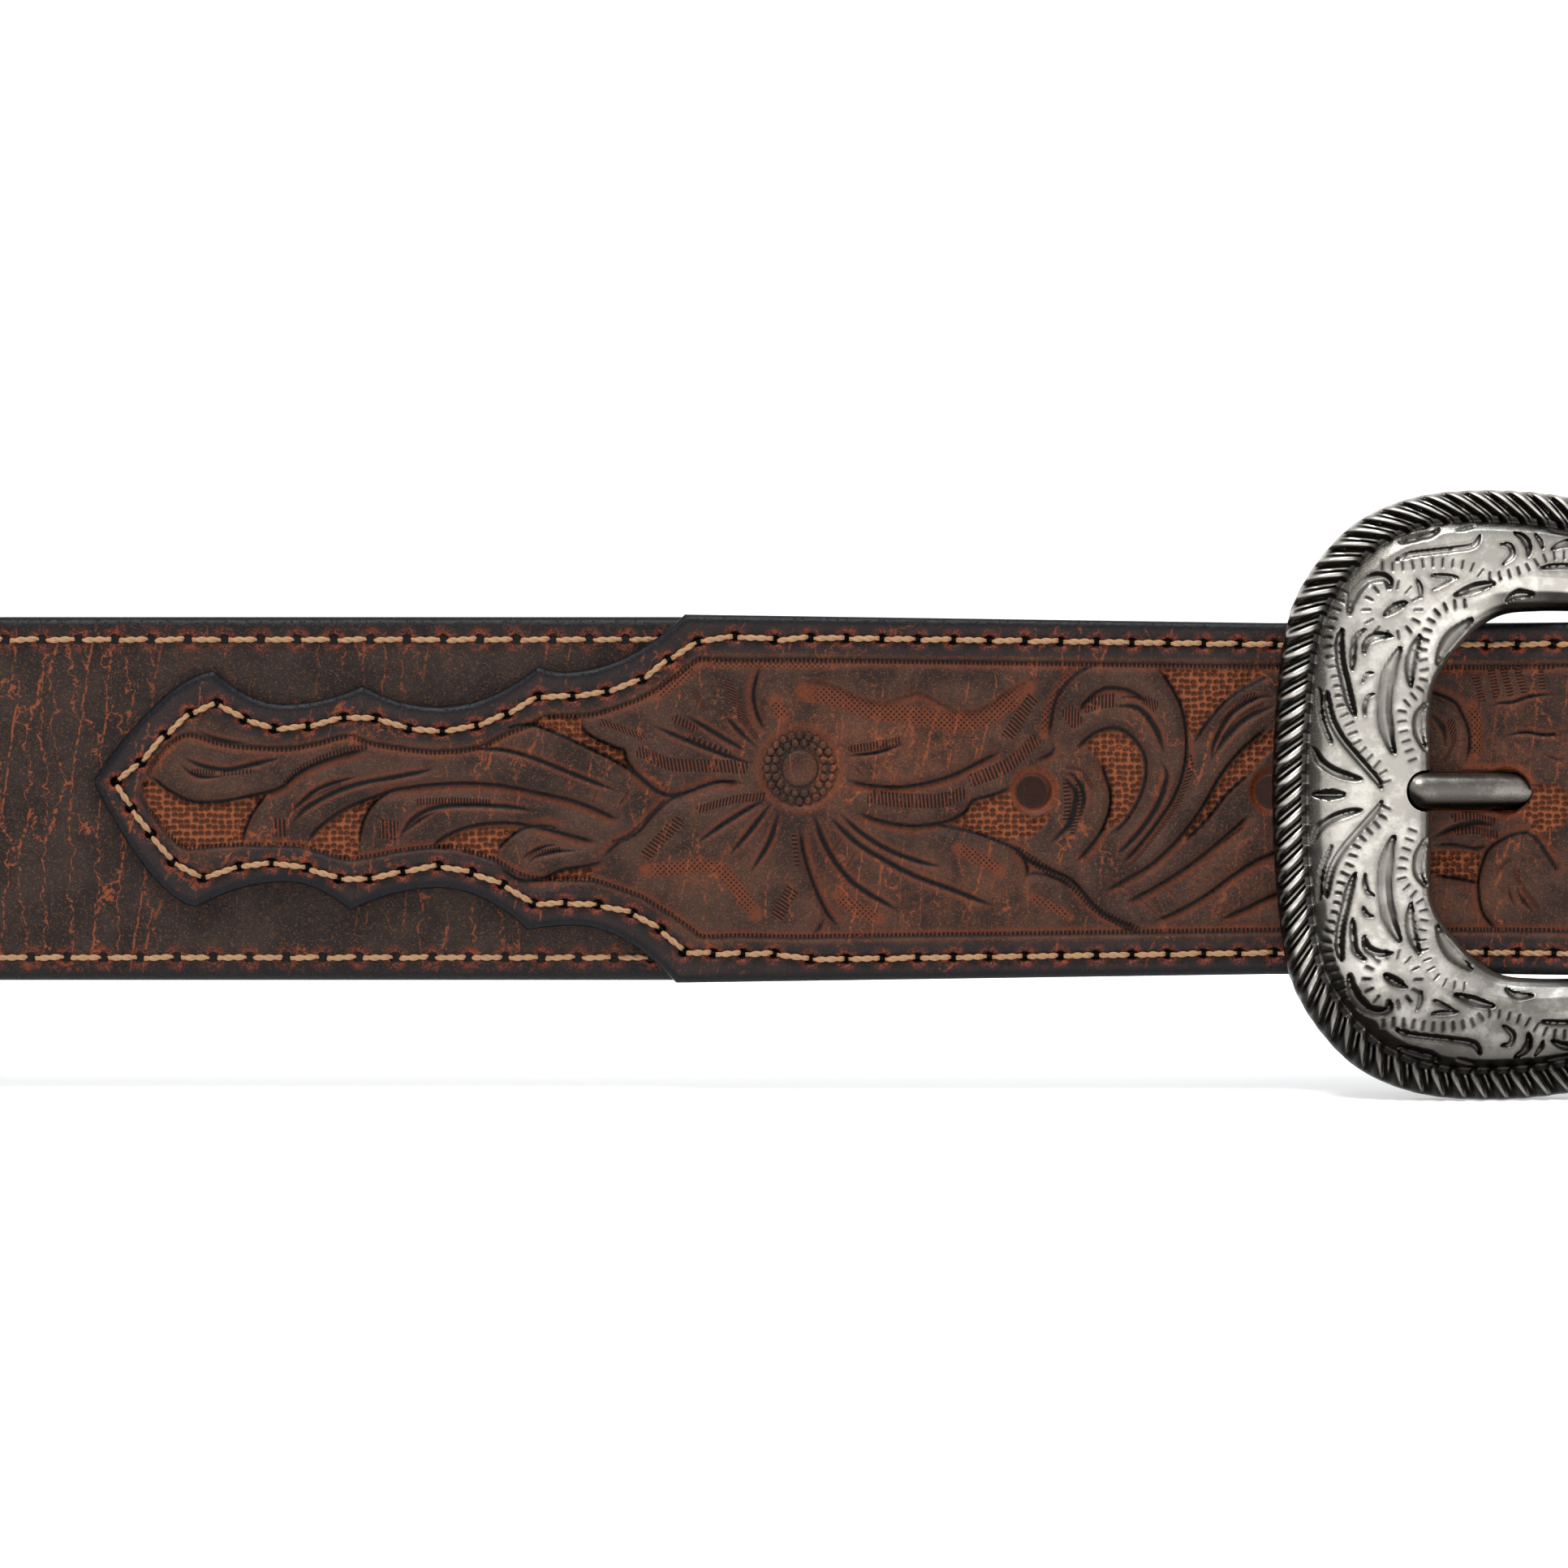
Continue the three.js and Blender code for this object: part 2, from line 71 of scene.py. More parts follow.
# Overlay
OVERLAY_THICKNESS = 1.4
OVERLAY_PROUD = 0.2
OVERLAY_REACH = 124.6
SCALLOP_LENGTH = 62.7
TIP_RISE = 1.9
POINT_FULLNESS = 1.65
POINT_BLUNTING = 0.002

# Punched holes
HOLE_RADIUS = 2
HOLE_RISE = 0.8
HOLE_PITCH = 25.4
HOLE_COUNT = 5

# Buckle
FRAME_WIDTH = 50.5
SIDE_BAR_WIDTH = 12.75
BUCKLE_RISE = 0.4
STRAP_PLAY = 0.75
FRAME_THICKNESS = 4.7
FRAME_BOW = 2.2
END_BAR_WIDTH = 16.7
HEEL_BAR_RADIUS = 2
HEEL_BAR_INSET = 3.3
RAMP_INSET = 5.1
RAMP_TO_FOLD = 4.6
LUG_WIDTH = 5
LUG_HEIGHT = 3
GROOVE_WIDTH = 0.7
ROPE_WIDTH = 3
ROPE_PITCH = 2.28
ROPE_SHARE = 0.8
PRONG_RADIUS = 1.95
PRONG_OVERLAP = 3
PRONG_BEND = 0.9
HOLE_INSET = 9.1
NOTCH_FLOOR = 1.1
EYE_WALL = 1.5
EYE_WIDTH = 5.4

# Keeper
KEEPER_WIDTH = 12
KEEPER_THICKNESS = 1.8
KEEPER_CORNER = 2

# Scalloped outline: share of SCALLOP_LENGTH along, share of the half width out, valley or point
UPPER_SCALLOPS = [
    (0.205, 0.695, False), (0.325, 0.515, True), (0.455, 0.615, False), (0.585, 0.5, True),
    (0.752, 0.72, False), (0.795, 0.69, True), (1, 1, False),
]
LOWER_SCALLOPS = [
    (0.175, 0.59, False), (0.325, 0.455, True), (0.435, 0.61, False), (0.583, 0.487, True),
    (0.735, 0.715, False), (0.81, 0.69, True), (0.985, 1, False),
]

# Half outline of the buckle: outer along, outer up, outer bar, inner along, inner up
FRAME_SECTIONS = [
    (0, 0, 0, 0, 0), (0.006, 0.415, 0, 0, 0.31), (0.024, 0.84, 0, 0.007, 0.56),
    (0.046, 1, 0.08, 0.04, 0.685), (0.099, 1, 0.43, 0.09, 0.79), (0.176, 1, 0.733, 0.165, 0.907),
    (0.293, 1, 0.937, 0.25, 0.98), (0.45, 1, 1, 0.37, 1), (0.624, 1, 0.945, 0.535, 1),
    (0.79, 1, 0.78, 0.72, 1), (0.92, 1, 0.56, 0.9, 1), (0.995, 1, 0.33, 1.03, 1),
]

# Places that follow from the sizes
CHAPE_WIDTH = BILLET_WIDTH - 2 * CHAPE_TRIM
OPENING_HEIGHT = BILLET_WIDTH + 2 * (OVERLAY_PROUD + STRAP_PLAY)
HOLE_RUN = END_BAR_WIDTH + HOLE_INSET
HEEL_RUN = FRAME_WIDTH - HEEL_BAR_INSET
TIP_RUN = HOLE_RUN + BILLET_PAST_HOLE
INSIDE_LENGTH = WAIST_LENGTH + HEEL_RUN - HOLE_RUN
STRAIGHT = (INSIDE_LENGTH - 2 * math.pi * (BEND_RADIUS - STRAP_THICKNESS)) / 2
FRAME_LEFT = STRAIGHT / 2 - CHAPE_TO_BEND - CHAPE_RETURN - HEEL_RUN
FOLD_RADIUS = HEEL_BAR_RADIUS + GAP
FOLD_REACH = FOLD_RADIUS + CHAPE_THICKNESS + GAP
HEEL_X = FRAME_LEFT + HEEL_RUN
HEEL_Y = CHAPE_THICKNESS + FOLD_RADIUS
LAP = STRAP_THICKNESS + GAP
BEND_LENGTH = math.pi * (BEND_RADIUS - STRAP_THICKNESS / 2)
RAMP_START = END_BAR_WIDTH + RAMP_INSET
RAMP_LENGTH = HEEL_RUN - FOLD_REACH - RAMP_TO_FOLD - RAMP_START
OVERLAY_LIFT = GAP + OVERLAY_THICKNESS
END_BAR_BACK = -OVERLAY_LIFT - GAP
SHOULDER_RUN = SCALLOP_LENGTH - OVERLAY_REACH
BEND_RUN = -STRAIGHT / 2 - FRAME_LEFT
LOOP_START = BEND_RUN - 2 * BEND_LENGTH - STRAIGHT

# The photograph's frame and its light
PHOTO_SIZE = 1932
PHOTO_SCALE = 11.65
BUCKLE_LEFT_PIXEL = 1565
STRAP_MIDDLE_PIXEL = 984
SENSOR_WIDTH = 36
CAMERA_DISTANCE = 600
WORLD_LIGHT = 0.64
PAPER_GLOW = 0.36

# Overlay's pieces, face and edge
OVERLAY_END = TIP_RUN - 0.02
OVERLAY_CUTS = [
    -OVERLAY_REACH + POINT_BLUNTING * SCALLOP_LENGTH, SHOULDER_RUN, -15, 31, 104, OVERLAY_END,
]
OVERLAY_FRONT = STRAP_THICKNESS / 2 + OVERLAY_LIFT
OVERLAY_EDGE = 0.9
OVERLAY_DROP = 0.7
CHANNEL_WIDTH = 3.9

# Punched holes and the slot that the prong lies in
PUNCH_RADII = [0.67 * HOLE_RADIUS, 1.27 * HOLE_RADIUS]
SLOT_HALF = PRONG_RADIUS + 0.1
SLOT_END = HOLE_RUN + 0.55
SLOT_LENGTH = 12
SLOT_DEPTH = 1.95

# Tool marks on the leather
BEVEL_DEPTH = 0.42
BEVEL_REACH = 2.3
LIP_DEPTH = 0.38
LIP_REACH = 4.5
CUT_DEPTH = 0.34
POCKET_DEPTH = 0.36
BORDER_INSET = 4.3
FLOWER = (-49.75, 3.2)
DISC_RADIUS = 1.96
BEAD_RADIUS = 0.43
BEAD_RINGS = [(2.68, 18), (3.5, 24)]
STIPPLE_PITCH = 0.42
CRACKED_RUN = -129
AWL_HOLE = (0.66, 0.42)
AWL_RING = (1.7, 0.6)
FLESH_TONE_AND_SHADE = 0.6
TOOL_MARKS = ("groove", "rust", "matting", "stipple", "edge", "fray", "patina_and_underside_shade", "tick", "phase", "channel")

# Section of the plate, its rope and its engraving
BODY_ACROSS = [0, 0.04, 0.1, 0.22, 0.38, 0.55, 0.75, 0.9, 1]
BODY_HEIGHT = [0.45, 0.62, 0.76, 0.92, 1, 0.985, 0.92, 0.82, 0.66]
STRAND_SHARE = 0.6
ROPE_LEAD = 1.1
ROPE_RELIEF = 0.38
ENGRAVING_DEPTH = 0.6
LEAF_FLOOR = 0.36
BUCKLE_TICK_STEP = 1.05
BUCKLE_TICK_LENGTH = 0.8
BUCKLE_TICK_WIDTH = 0.17
TICK_STAR = (12.4, 19.4, 2.7, 14)

# Stitches
OVERLAY_PITCH = 3.78
ROW_INSET = 2.3
STRAP_ROW = 16.85
STRAP_PITCH = 3.87
TOP_PHASE = -122.4
BOTTOM_PHASE = -123.6
UNDER_OVERLAY = -64
THREAD_RADIUS = 0.21
PLY_OFFSET = 0.13
THREAD_TWIST = 2.3
HOLE_SHARE = 0.3

# How finely the pieces are divided
LOOP_STATIONS = 380
BILLET_STATIONS = 260
TIP_STATIONS = 26
STRAP_FACE_POINTS = 26
OVERLAY_STEPS = [0.17, 0.17, 0.17, 0.6, 0.6]
OVERLAY_ACROSS = [190, 224, 224, 100, 100]
BACK_POINTS = 17
OUTLINE_STEP = 0.3
PLATE_STATIONS = 960
BODY_POINTS = 72
ROPE_POINTS = 18
PLATE_BACK_POINTS = 6
PLATE_POINTS = BODY_POINTS + ROPE_POINTS + PLATE_BACK_POINTS
SKIVE_STATIONS = 16
FOLD_STATIONS = 22
SETTLE_STATIONS = 12
CORNER_POINTS = 5
CUTTER_SIDES = 40
PRONG_SIDES = 48
BAR_SIDES = 32
SHARP_ANGLE = math.radians(55)


def rgb(red, green, blue):
    """A colour given as it looks on a screen, 0 to 255."""
    return (*[(channel / 255) ** 2.2 for channel in (red, green, blue)], 1)


# Colours
SPECKLE = rgb(106, 74, 50)
WORN = rgb(100, 57, 36)
RUST = rgb(94, 47, 27)
RUST_LIGHT = rgb(126, 73, 45)
MATTING_PIT = rgb(58, 32, 23)
CUT_DARK = rgb(13, 8, 7)
FRAY = rgb(112, 49, 29)
CRACK = rgb(120, 62, 37)
DRESSED_EDGE = rgb(15, 16, 20)
CHANNEL = rgb(34, 30, 31)
HOLE_WALL = rgb(92, 43, 22)
# Dark patina of the cuts and the rope's gaps, also the colour of painted shade on the buckle
DARK_PATINA_AND_SHADE = rgb(20, 18, 16)
SOFT_PATINA_AND_SHADE = rgb(66, 63, 59)
LOW_LIMB_SHADE = rgb(40, 38, 37)
THREAD_DARK = rgb(124, 90, 62)
THREAD_LIGHT = rgb(174, 138, 101)
THREAD_SOILED = rgb(140, 92, 58)
STRAP_COLORS = rgb(29, 23, 22), rgb(41, 33, 30)
TOOLED_COLORS = rgb(34, 25, 22), rgb(56, 40, 33)
SILVER_COLORS = rgb(208, 203, 194), rgb(172, 167, 159)
PRONG_COLORS = rgb(142, 137, 130), rgb(104, 100, 94)
PAPER = rgb(240, 240, 240)


# Placing


def turned(points, angle):
    """Points turned about the X axis."""
    cosine, sine = math.cos(angle), math.sin(angle)
    x, y, z = points[:, 0], points[:, 1], points[:, 2]
    return np.column_stack([x, y * cosine - z * sine, y * sine + z * cosine])


def point_vectors(mesh, name="position"):
    """A named vector at each point of a mesh; without a name, its place."""
    flat = np.zeros(len(mesh.vertices) * 3, np.float32)
    mesh.attributes[name].data.foreach_get("vector", flat)
    return flat.reshape(-1, 3)


def belt_tilt():
    """How far the belt leans back: the rear face's normal in the record is its own Y axis."""
    facing = next(m for m in frame["record"]["mounts"] if m["name"] == "rear_outer_face")["axis"]
    return math.atan2(facing[2], facing[1])


TILT = belt_tilt()


def belt_offset():
    upright = turned(point_vectors(frame["nodes"]["strap"].data).astype(float) / MM, -TILT)
    low, high = upright.min(0), upright.max(0)
    middle = (low + high) / 2
    return np.array([middle[0], high[1] - 2 * BEND_RADIUS, middle[2]])


OFFSET = belt_offset()


def to_world(points):
    return turned(np.asarray(points, float) + OFFSET, TILT) * MM


def world_vector(x, y, z):
    return Vector(to_world([[x, y, z]])[0])


def smooth(share):
    t = np.clip(share, 0, 1)
    return t * t * (3 - 2 * t)


def lerp(low, high, share):
    return low + (high - low) * share


def width_at(run):
    """Full width of the strap at a run: it narrows to the buckle and closes at the round tip."""
    taper = np.clip((run - SHOULDER_RUN) / -SHOULDER_RUN, 0, 1)
    full = lerp(STRAP_WIDTH, BILLET_WIDTH, taper)
    short = np.clip(1 - (TIP_RUN - run) / TIP_LENGTH, 0, 0.9995)
    return full * np.sqrt(1 - short ** TIP_POWER)


def billet_middle(run):
    """Middle of the strap's thickness on the billet side, which climbs over the heel bar."""
    x = FRAME_LEFT + run
    climb = LAP * smooth((run - RAMP_START) / RAMP_LENGTH)
    middle = STRAP_THICKNESS / 2
    past = np.maximum(np.abs(x) - STRAIGHT / 2, 0)
    radius = BEND_RADIUS - middle + climb
    round_x = np.sign(x) * (STRAIGHT / 2 + radius * np.sin(past / radius))
    round_y = BEND_RADIUS - radius * np.cos(past / radius)
    bent = past > 0
    return np.where(bent, round_x, x), np.where(bent, round_y, middle - climb)


def loop_middle(run):
    """The same behind the left bend: round it, along the back and round the right bend."""
    radius = BEND_LENGTH / math.pi
    back = BEND_RUN - run
    left = np.clip(back, 0, BEND_LENGTH) / radius
    rear = np.clip(back - BEND_LENGTH, 0, STRAIGHT)
    right = np.clip(back - BEND_LENGTH - STRAIGHT, 0, BEND_LENGTH) / radius
    front = np.maximum(LOOP_START - run, 0)
    on_left = back <= BEND_LENGTH
    x = np.where(
        on_left,
        -STRAIGHT / 2 - radius * np.sin(left),
        np.where(right > 0, STRAIGHT / 2 + radius * np.sin(right) - front, rear - STRAIGHT / 2),
    )
    y = np.where(
        on_left,
        BEND_RADIUS - radius * np.cos(left),
        np.where(right > 0, BEND_RADIUS + radius * np.cos(right), 2 * BEND_RADIUS - STRAP_THICKNESS / 2),
    )
    return x, y


def strap_middle(run):
    run = np.asarray(run, float)
    ahead = billet_middle(run)
    behind = loop_middle(run)
    front = run >= BEND_RUN
    return np.where(front, ahead[0], behind[0]), np.where(front, ahead[1], behind[1])


def on_strap(run, out, z):
    """Places at a distance out from the middle of the strap's thickness."""
    run, out, z = np.broadcast_arrays(np.asarray(run, float), out, z)
    step = 0.05
    x, y = strap_middle(run)
    ahead, behind = strap_middle(run + step), strap_middle(run - step)
    across_x, across_y = ahead[1] - behind[1], behind[0] - ahead[0]
    length = np.hypot(across_x, across_y)
    return np.stack([x + out * across_x / length, y + out * across_y / length, z], axis=-1)


# Meshes


def make_mesh(name, points, faces, material, attributes=None, sharp=None):
    """An object from places in millimetres, arrays of faces and named values at the points."""
    if material is not None and attributes is None:
        attributes = {"place": front_place(points)}
    mesh = bpy.data.meshes.new(name)
    mesh.vertices.add(len(points))
    mesh.vertices.foreach_set("co", to_world(points).ravel().astype(np.float32))
    corners = np.concatenate([np.asarray(group).ravel() for group in faces]).astype(np.int32)
    sizes = np.concatenate([np.full(len(group), np.shape(group)[1]) for group in faces])
    starts = np.concatenate([[0], np.cumsum(sizes)[:-1]]).astype(np.int32)
    mesh.loops.add(len(corners))
    mesh.loops.foreach_set("vertex_index", corners)
    mesh.polygons.add(len(sizes))
    mesh.polygons.foreach_set("loop_start", starts)
    mesh.update(calc_edges=True)
    mesh.polygons.foreach_set("use_smooth", np.ones(len(sizes), bool))
    for key, values in (attributes or {}).items():
        values = np.asarray(values, np.float32)
        kind, field = ("FLOAT", "value") if values.ndim == 1 else ("FLOAT_VECTOR", "vector")
        mesh.attributes.new(key, kind, "POINT").data.foreach_set(field, values.ravel())
    if sharp is not None:
        ends = np.zeros(len(mesh.edges) * 2, np.int32)
        mesh.edges.foreach_get("vertices", ends)
        both = sharp[ends.reshape(-1, 2)].all(axis=1)
        mesh.attributes.new("sharp_edge", "BOOLEAN", "EDGE").data.foreach_set("value", both)
    mesh.materials.append(material)
    mesh.validate()
    piece = bpy.data.objects.new(name, mesh)
    bpy.context.scene.collection.objects.link(piece)
    return piece


def front_place(points):
    """Run and height of each point, with the mark of an original surface."""
    return np.column_stack([points[:, 0] - FRAME_LEFT, points[:, 2], np.ones(len(points))])


def tube_quads(rings, around):
    """Quads of a closed skin through rings of points that all run the same way round."""
    ring, corner = np.meshgrid(np.arange(rings - 1), np.arange(around), indexing="ij")
    here = ring * around + corner
    beside = ring * around + (corner + 1) % around
    return np.stack([here, here + around, beside + around, beside], axis=-1).reshape(-1, 4)


def capped_tube(rings):
    """Points and faces of a tube whose ends close on a middle point each."""
    count, around = rings.shape[:2]
    points = np.vstack([rings.reshape(-1, 3), rings[0].mean(0), rings[-1].mean(0)])
    corner = np.arange(around)
    beside = (corner + 1) % around
    last = (count - 1) * around
    low = np.stack([corner, beside, np.full(around, count * around)], axis=-1)
    high = np.stack([last + beside, last + corner, np.full(around, count * around + 1)], axis=-1)
    return points, [tube_quads(count, around), np.vstack([low, high])]


def finish_piece(piece, slot, *nodes):
    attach(piece, "root")
    if nodes:
        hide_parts(*nodes)
    return piece


# Materials


SOCKETS = {"metallic": "Metallic", "specular_ior_level": "Specular IOR Level"}


class Finish:
    """A material under construction: short names for the nodes that it needs."""

    def __init__(self, name):
        self.material = bpy.data.materials.new(name)
        self.material.use_nodes = True
        self.tree = self.material.node_tree
        self.shader = self.tree.nodes["Principled BSDF"]

    def node(self, kind):
        return self.tree.nodes.new(kind)

    def link(self, value, socket):
        if isinstance(value, bpy.types.NodeSocket):
            self.tree.links.new(value, socket)
        elif value is not None:
            socket.default_value = value

    def value(self, name):
        node = self.node("ShaderNodeAttribute")
        node.attribute_name = name
        return node.outputs["Fac"]

    def vector(self, name):
        node = self.node("ShaderNodeAttribute")
        node.attribute_name = name
        return node.outputs["Vector"]

    def parts(self, vector):
        node = self.node("ShaderNodeSeparateXYZ")
        self.link(vector, node.inputs[0])
        return node.outputs

    def scaled(self, vector, x, y, z):
        node = self.node("ShaderNodeVectorMath")
        node.operation = "MULTIPLY"
        self.link(vector, node.inputs[0])
        node.inputs[1].default_value = (x, y, z)
        return node.outputs[0]

    def turned(self, vector, angle):
        node = self.node("ShaderNodeVectorRotate")
        node.rotation_type = "Z_AXIS"
        self.link(vector, node.inputs["Vector"])
        node.inputs["Angle"].default_value = angle
        return node.outputs[0]

    def math(self, operation, first, second=None, third=None):
        node = self.node("ShaderNodeMath")
        node.operation = operation
        for socket, value in zip(node.inputs, (first, second, third)):
            self.link(value, socket)
        return node.outputs[0]

    def times(self, first, second):
        return self.math("MULTIPLY", first, second)

    def times_plus(self, first, second, third):
        return self.math("MULTIPLY_ADD", first, second, third)

    def step(self, value, start, end, low=0.0, high=1.0):
        """Runs smoothly from low to high as the value goes from start to end."""
        node = self.node("ShaderNodeMapRange")
        node.interpolation_type = "SMOOTHSTEP"
        flip = start > end
        self.link(value, node.inputs["Value"])
        node.inputs["From Min"].default_value = end if flip else start
        node.inputs["From Max"].default_value = start if flip else end
        node.inputs["To Min"].default_value = high if flip else low
        node.inputs["To Max"].default_value = low if flip else high
        return node.outputs[0]

    def noise(self, vector, scale, detail=3.0, roughness=0.55, distortion=0.0):
        node = self.node("ShaderNodeTexNoise")
        self.link(vector, node.inputs["Vector"])
        node.inputs["Scale"].default_value = scale
        node.inputs["Detail"].default_value = detail
        node.inputs["Roughness"].default_value = roughness
        node.inputs["Distortion"].default_value = distortion
        return node.outputs[0]

    def lean(self, x, y, z):
        """How far the surface faces a way, from -1 to 1."""
        node = self.node("ShaderNodeVectorMath")
        node.operation = "DOT_PRODUCT"
        self.link(self.node("ShaderNodeNewGeometry").outputs["Normal"], node.inputs[0])
        node.inputs[1].default_value = (x, y, z)
        return node.outputs["Value"]

    def cells(self, vector, scale, randomness=1.0, feature="F1"):
        node = self.node("ShaderNodeTexVoronoi")
        node.voronoi_dimensions = "2D"
        node.feature = feature
        self.link(vector, node.inputs["Vector"])
        node.inputs["Scale"].default_value = scale
        node.inputs["Randomness"].default_value = randomness
        return node.outputs["Distance"]

    def mix(self, share, first, second):
        node = self.node("ShaderNodeMix")
        node.data_type = "RGBA"
        self.link(share, node.inputs[0])
        self.link(first, node.inputs[6])
        self.link(second, node.inputs[7])
        return node.outputs[2]

    def finish(self, color, roughness, height=None, strength=1.0, **settings):
        """Joins colour, roughness and a height in millimetres to the shader."""
        self.link(color, self.shader.inputs["Base Color"])
        self.link(roughness, self.shader.inputs["Roughness"])
        for name, value in settings.items():
            self.link(value, self.shader.inputs[SOCKETS[name]])
        if height is not None:
            bump = self.node("ShaderNodeBump")
            bump.inputs["Distance"].default_value = MM
            bump.inputs["Strength"].default_value = strength
            self.link(height, bump.inputs["Height"])
            self.link(bump.outputs[0], self.shader.inputs["Normal"])
        return self.material


def leather_finish(name, dark, light, worn):
    """Aged leather: mottled colour, speckle, rust crackle and pores, what the tools left, and painted shade
    beside the bevels, round the prong's slot and on the strap's inner face.
    """
    leather = Finish(name)
    place = leather.vector("place")
    run, up, whole = leather.parts(place)
    broad = leather.noise(place, 0.16, 5, 0.65)
    blotch = leather.noise(place, 0.7, 4, 0.6)
    grain = leather.noise(place, 5.5, 3, 0.7)
    speck = leather.noise(place, 3.1, 2, 0.75)
    color = leather.mix(leather.step(broad, 0.38, 0.62), dark, light)
    color = leather.mix(leather.step(grain, 0.53, 0.7, 0, 0.62), color, SPECKLE)
    wear = leather.times(leather.step(grain, 0.4, 0.6, 0.3, 0.9), leather.step(blotch, 0.3, 0.62))
    wear = leather.times(leather.value("patina_and_underside_shade"), wear)
    wear = leather.math("MAXIMUM", wear, leather.step(speck, 0.62, 0.74, 0, worn))
    color = leather.mix(wear, color, WORN)
    cracks = crackle(leather, place, run)
    rusty = leather.times(leather.value("rust"), leather.step(speck, 0.3, 0.56, 0.25, 0.95))
    color = leather.mix(rusty, color, RUST)
    pits = leather.step(leather.cells(leather.scaled(place, 1, 1.14, 1), 1.36, 0.42), 0.56, 0.16)
    matting = leather.value("matting")
    matted = leather.mix(pits, leather.mix(grain, RUST_LIGHT, RUST), MATTING_PIT)
    color = leather.mix(matting, color, matted)
    dots = stipple_dots(leather, place)
    stippled = leather.times(leather.value("stipple"), dots)
    color = leather.mix(leather.times(stippled, 0.85), color, CUT_DARK)
    lines = tick_lines(leather)
    color = leather.mix(leather.times(lines, 0.92), color, CUT_DARK)
    channel = leather.times(leather.value("channel"), leather.step(speck, 0.7, 0.5, 0.35, 0.85))
    color = leather.mix(channel, color, CHANNEL)
    color = leather.mix(cracks, color, CRACK)
    torn = leather.step(leather.noise(place, 2.2, 4, 0.75, 1.5), 0.46, 0.6)
    fray = leather.times(leather.step(leather.value("fray"), 0.1, 0.7), torn)
    color = leather.mix(fray, color, FRAY)
    edge = leather.value("edge")
    dressed = leather.times(edge, leather.step(grain, 0.7, 0.5, 0.75, 1))
    color = leather.mix(dressed, color, DRESSED_EDGE)
    # Cut lines darken here, and so does painted shade beside the bevels, round the prong's slot and on the
    # strap's inner face.
    groove = leather.value("groove")
    color = leather.mix(leather.step(groove, 0.05, 0.85), color, CUT_DARK)
    holes, ring = strap_holes(leather, run, up)
    stitched = leather.value("stitched")
    color = leather.mix(leather.times(leather.times(ring, stitched), torn), color, FRAY)
    color = leather.mix(leather.times(holes, stitched), color, CUT_DARK)
    color = leather.mix(leather.step(whole, 0.9, 0.3), color, HOLE_WALL)
    height = leather.times(grain, 0.05)
    height = leather.times_plus(blotch, 0.12, height)
    pores = leather.step(leather.cells(place, 1.15), 0.16, 0.05)
    height = leather.times_plus(pores, -0.07, height)
    height = leather.times_plus(cracks, -0.06, height)
    height = leather.times_plus(leather.times(matting, pits), -0.42, height)
    height = leather.times_plus(stippled, -0.1, height)
    height = leather.times_plus(lines, -0.16, height)
    height = leather.times_plus(leather.times(holes, stitched), -0.8, height)
    roughness = leather.step(grain, 0.3, 0.75, 0.42, 0.68)
    roughness = leather.times_plus(dressed, -0.14, roughness)
    roughness = leather.math("MAXIMUM", roughness, leather.step(whole, 0.9, 0.3))
    return leather.finish(color, roughness, height, 0.9, specular_ior_level=0.14)


def crackle(leather, place, run):
    """Fine rusty cracks, mostly across the strap, in some patches and where it bends most."""
    warp = leather.noise(place, 0.5, 3, 0.6)
    bent = leather.node("ShaderNodeVectorMath")
    bent.operation = "MULTIPLY_ADD"
    leather.link(place, bent.inputs[0])
    bent.inputs[1].default_value = (0.42, 0.085, 0)
    leather.link(warp, bent.inputs[2])
    lines = leather.step(leather.cells(bent.outputs[0], 1.0, 1.0, "DISTANCE_TO_EDGE"), 0.055, 0.012)
    patch = leather.step(leather.noise(place, 0.11, 3, 0.6), 0.46, 0.6, 0, 0.7)
    from_bend = leather.math("ABSOLUTE", leather.math("SUBTRACT", run, CRACKED_RUN))
    bend = leather.step(from_bend, 15, 8, 0, 0.8)
    patch = leather.math("MAXIMUM", leather.math("MAXIMUM", patch, bend), leather.value("patina_and_underside_shade"))
    broken = leather.step(leather.noise(place, 1.7, 2, 0.6), 0.4, 0.54)
    return leather.times(leather.times(lines, patch), broken)


def stipple_dots(leather, place):
    """Round dots on a lattice turned by 45 degrees."""
    x, y, _ = leather.parts(leather.turned(place, math.pi / 4))
    turn = 2 * math.pi / STIPPLE_PITCH
    waves = [leather.math("COSINE", leather.times(axis, turn)) for axis in (x, y)]
    return leather.step(leather.math("ADD", *waves), 0.35, 1.1)


def tick_lines(leather):
    wave = leather.math("COSINE", leather.times(leather.value("phase"), 2 * math.pi))
    mask = leather.step(leather.value("tick"), 0.2, 0.6)
    return leather.times(leather.step(wave, -0.5, 0.3), mask)


def strap_holes(leather, run, up):
    """The awl holes of the strap's two rows, and the wider ring round each."""
    above = leather.math("GREATER_THAN", up, 0)
    phase = leather.times_plus(above, TOP_PHASE - BOTTOM_PHASE, BOTTOM_PHASE)
    along = leather.math("WRAP", leather.math("SUBTRACT", run, phase), STRAP_PITCH / 2, -STRAP_PITCH / 2)
    across = leather.math("SUBTRACT", leather.math("ABSOLUTE", up), STRAP_ROW)
    squares = [leather.times(part, part) for part in (along, across)]
    radius = leather.math("SQRT", leather.math("ADD", *squares))
    return leather.step(radius, *AWL_HOLE), leather.step(radius, *AWL_RING)


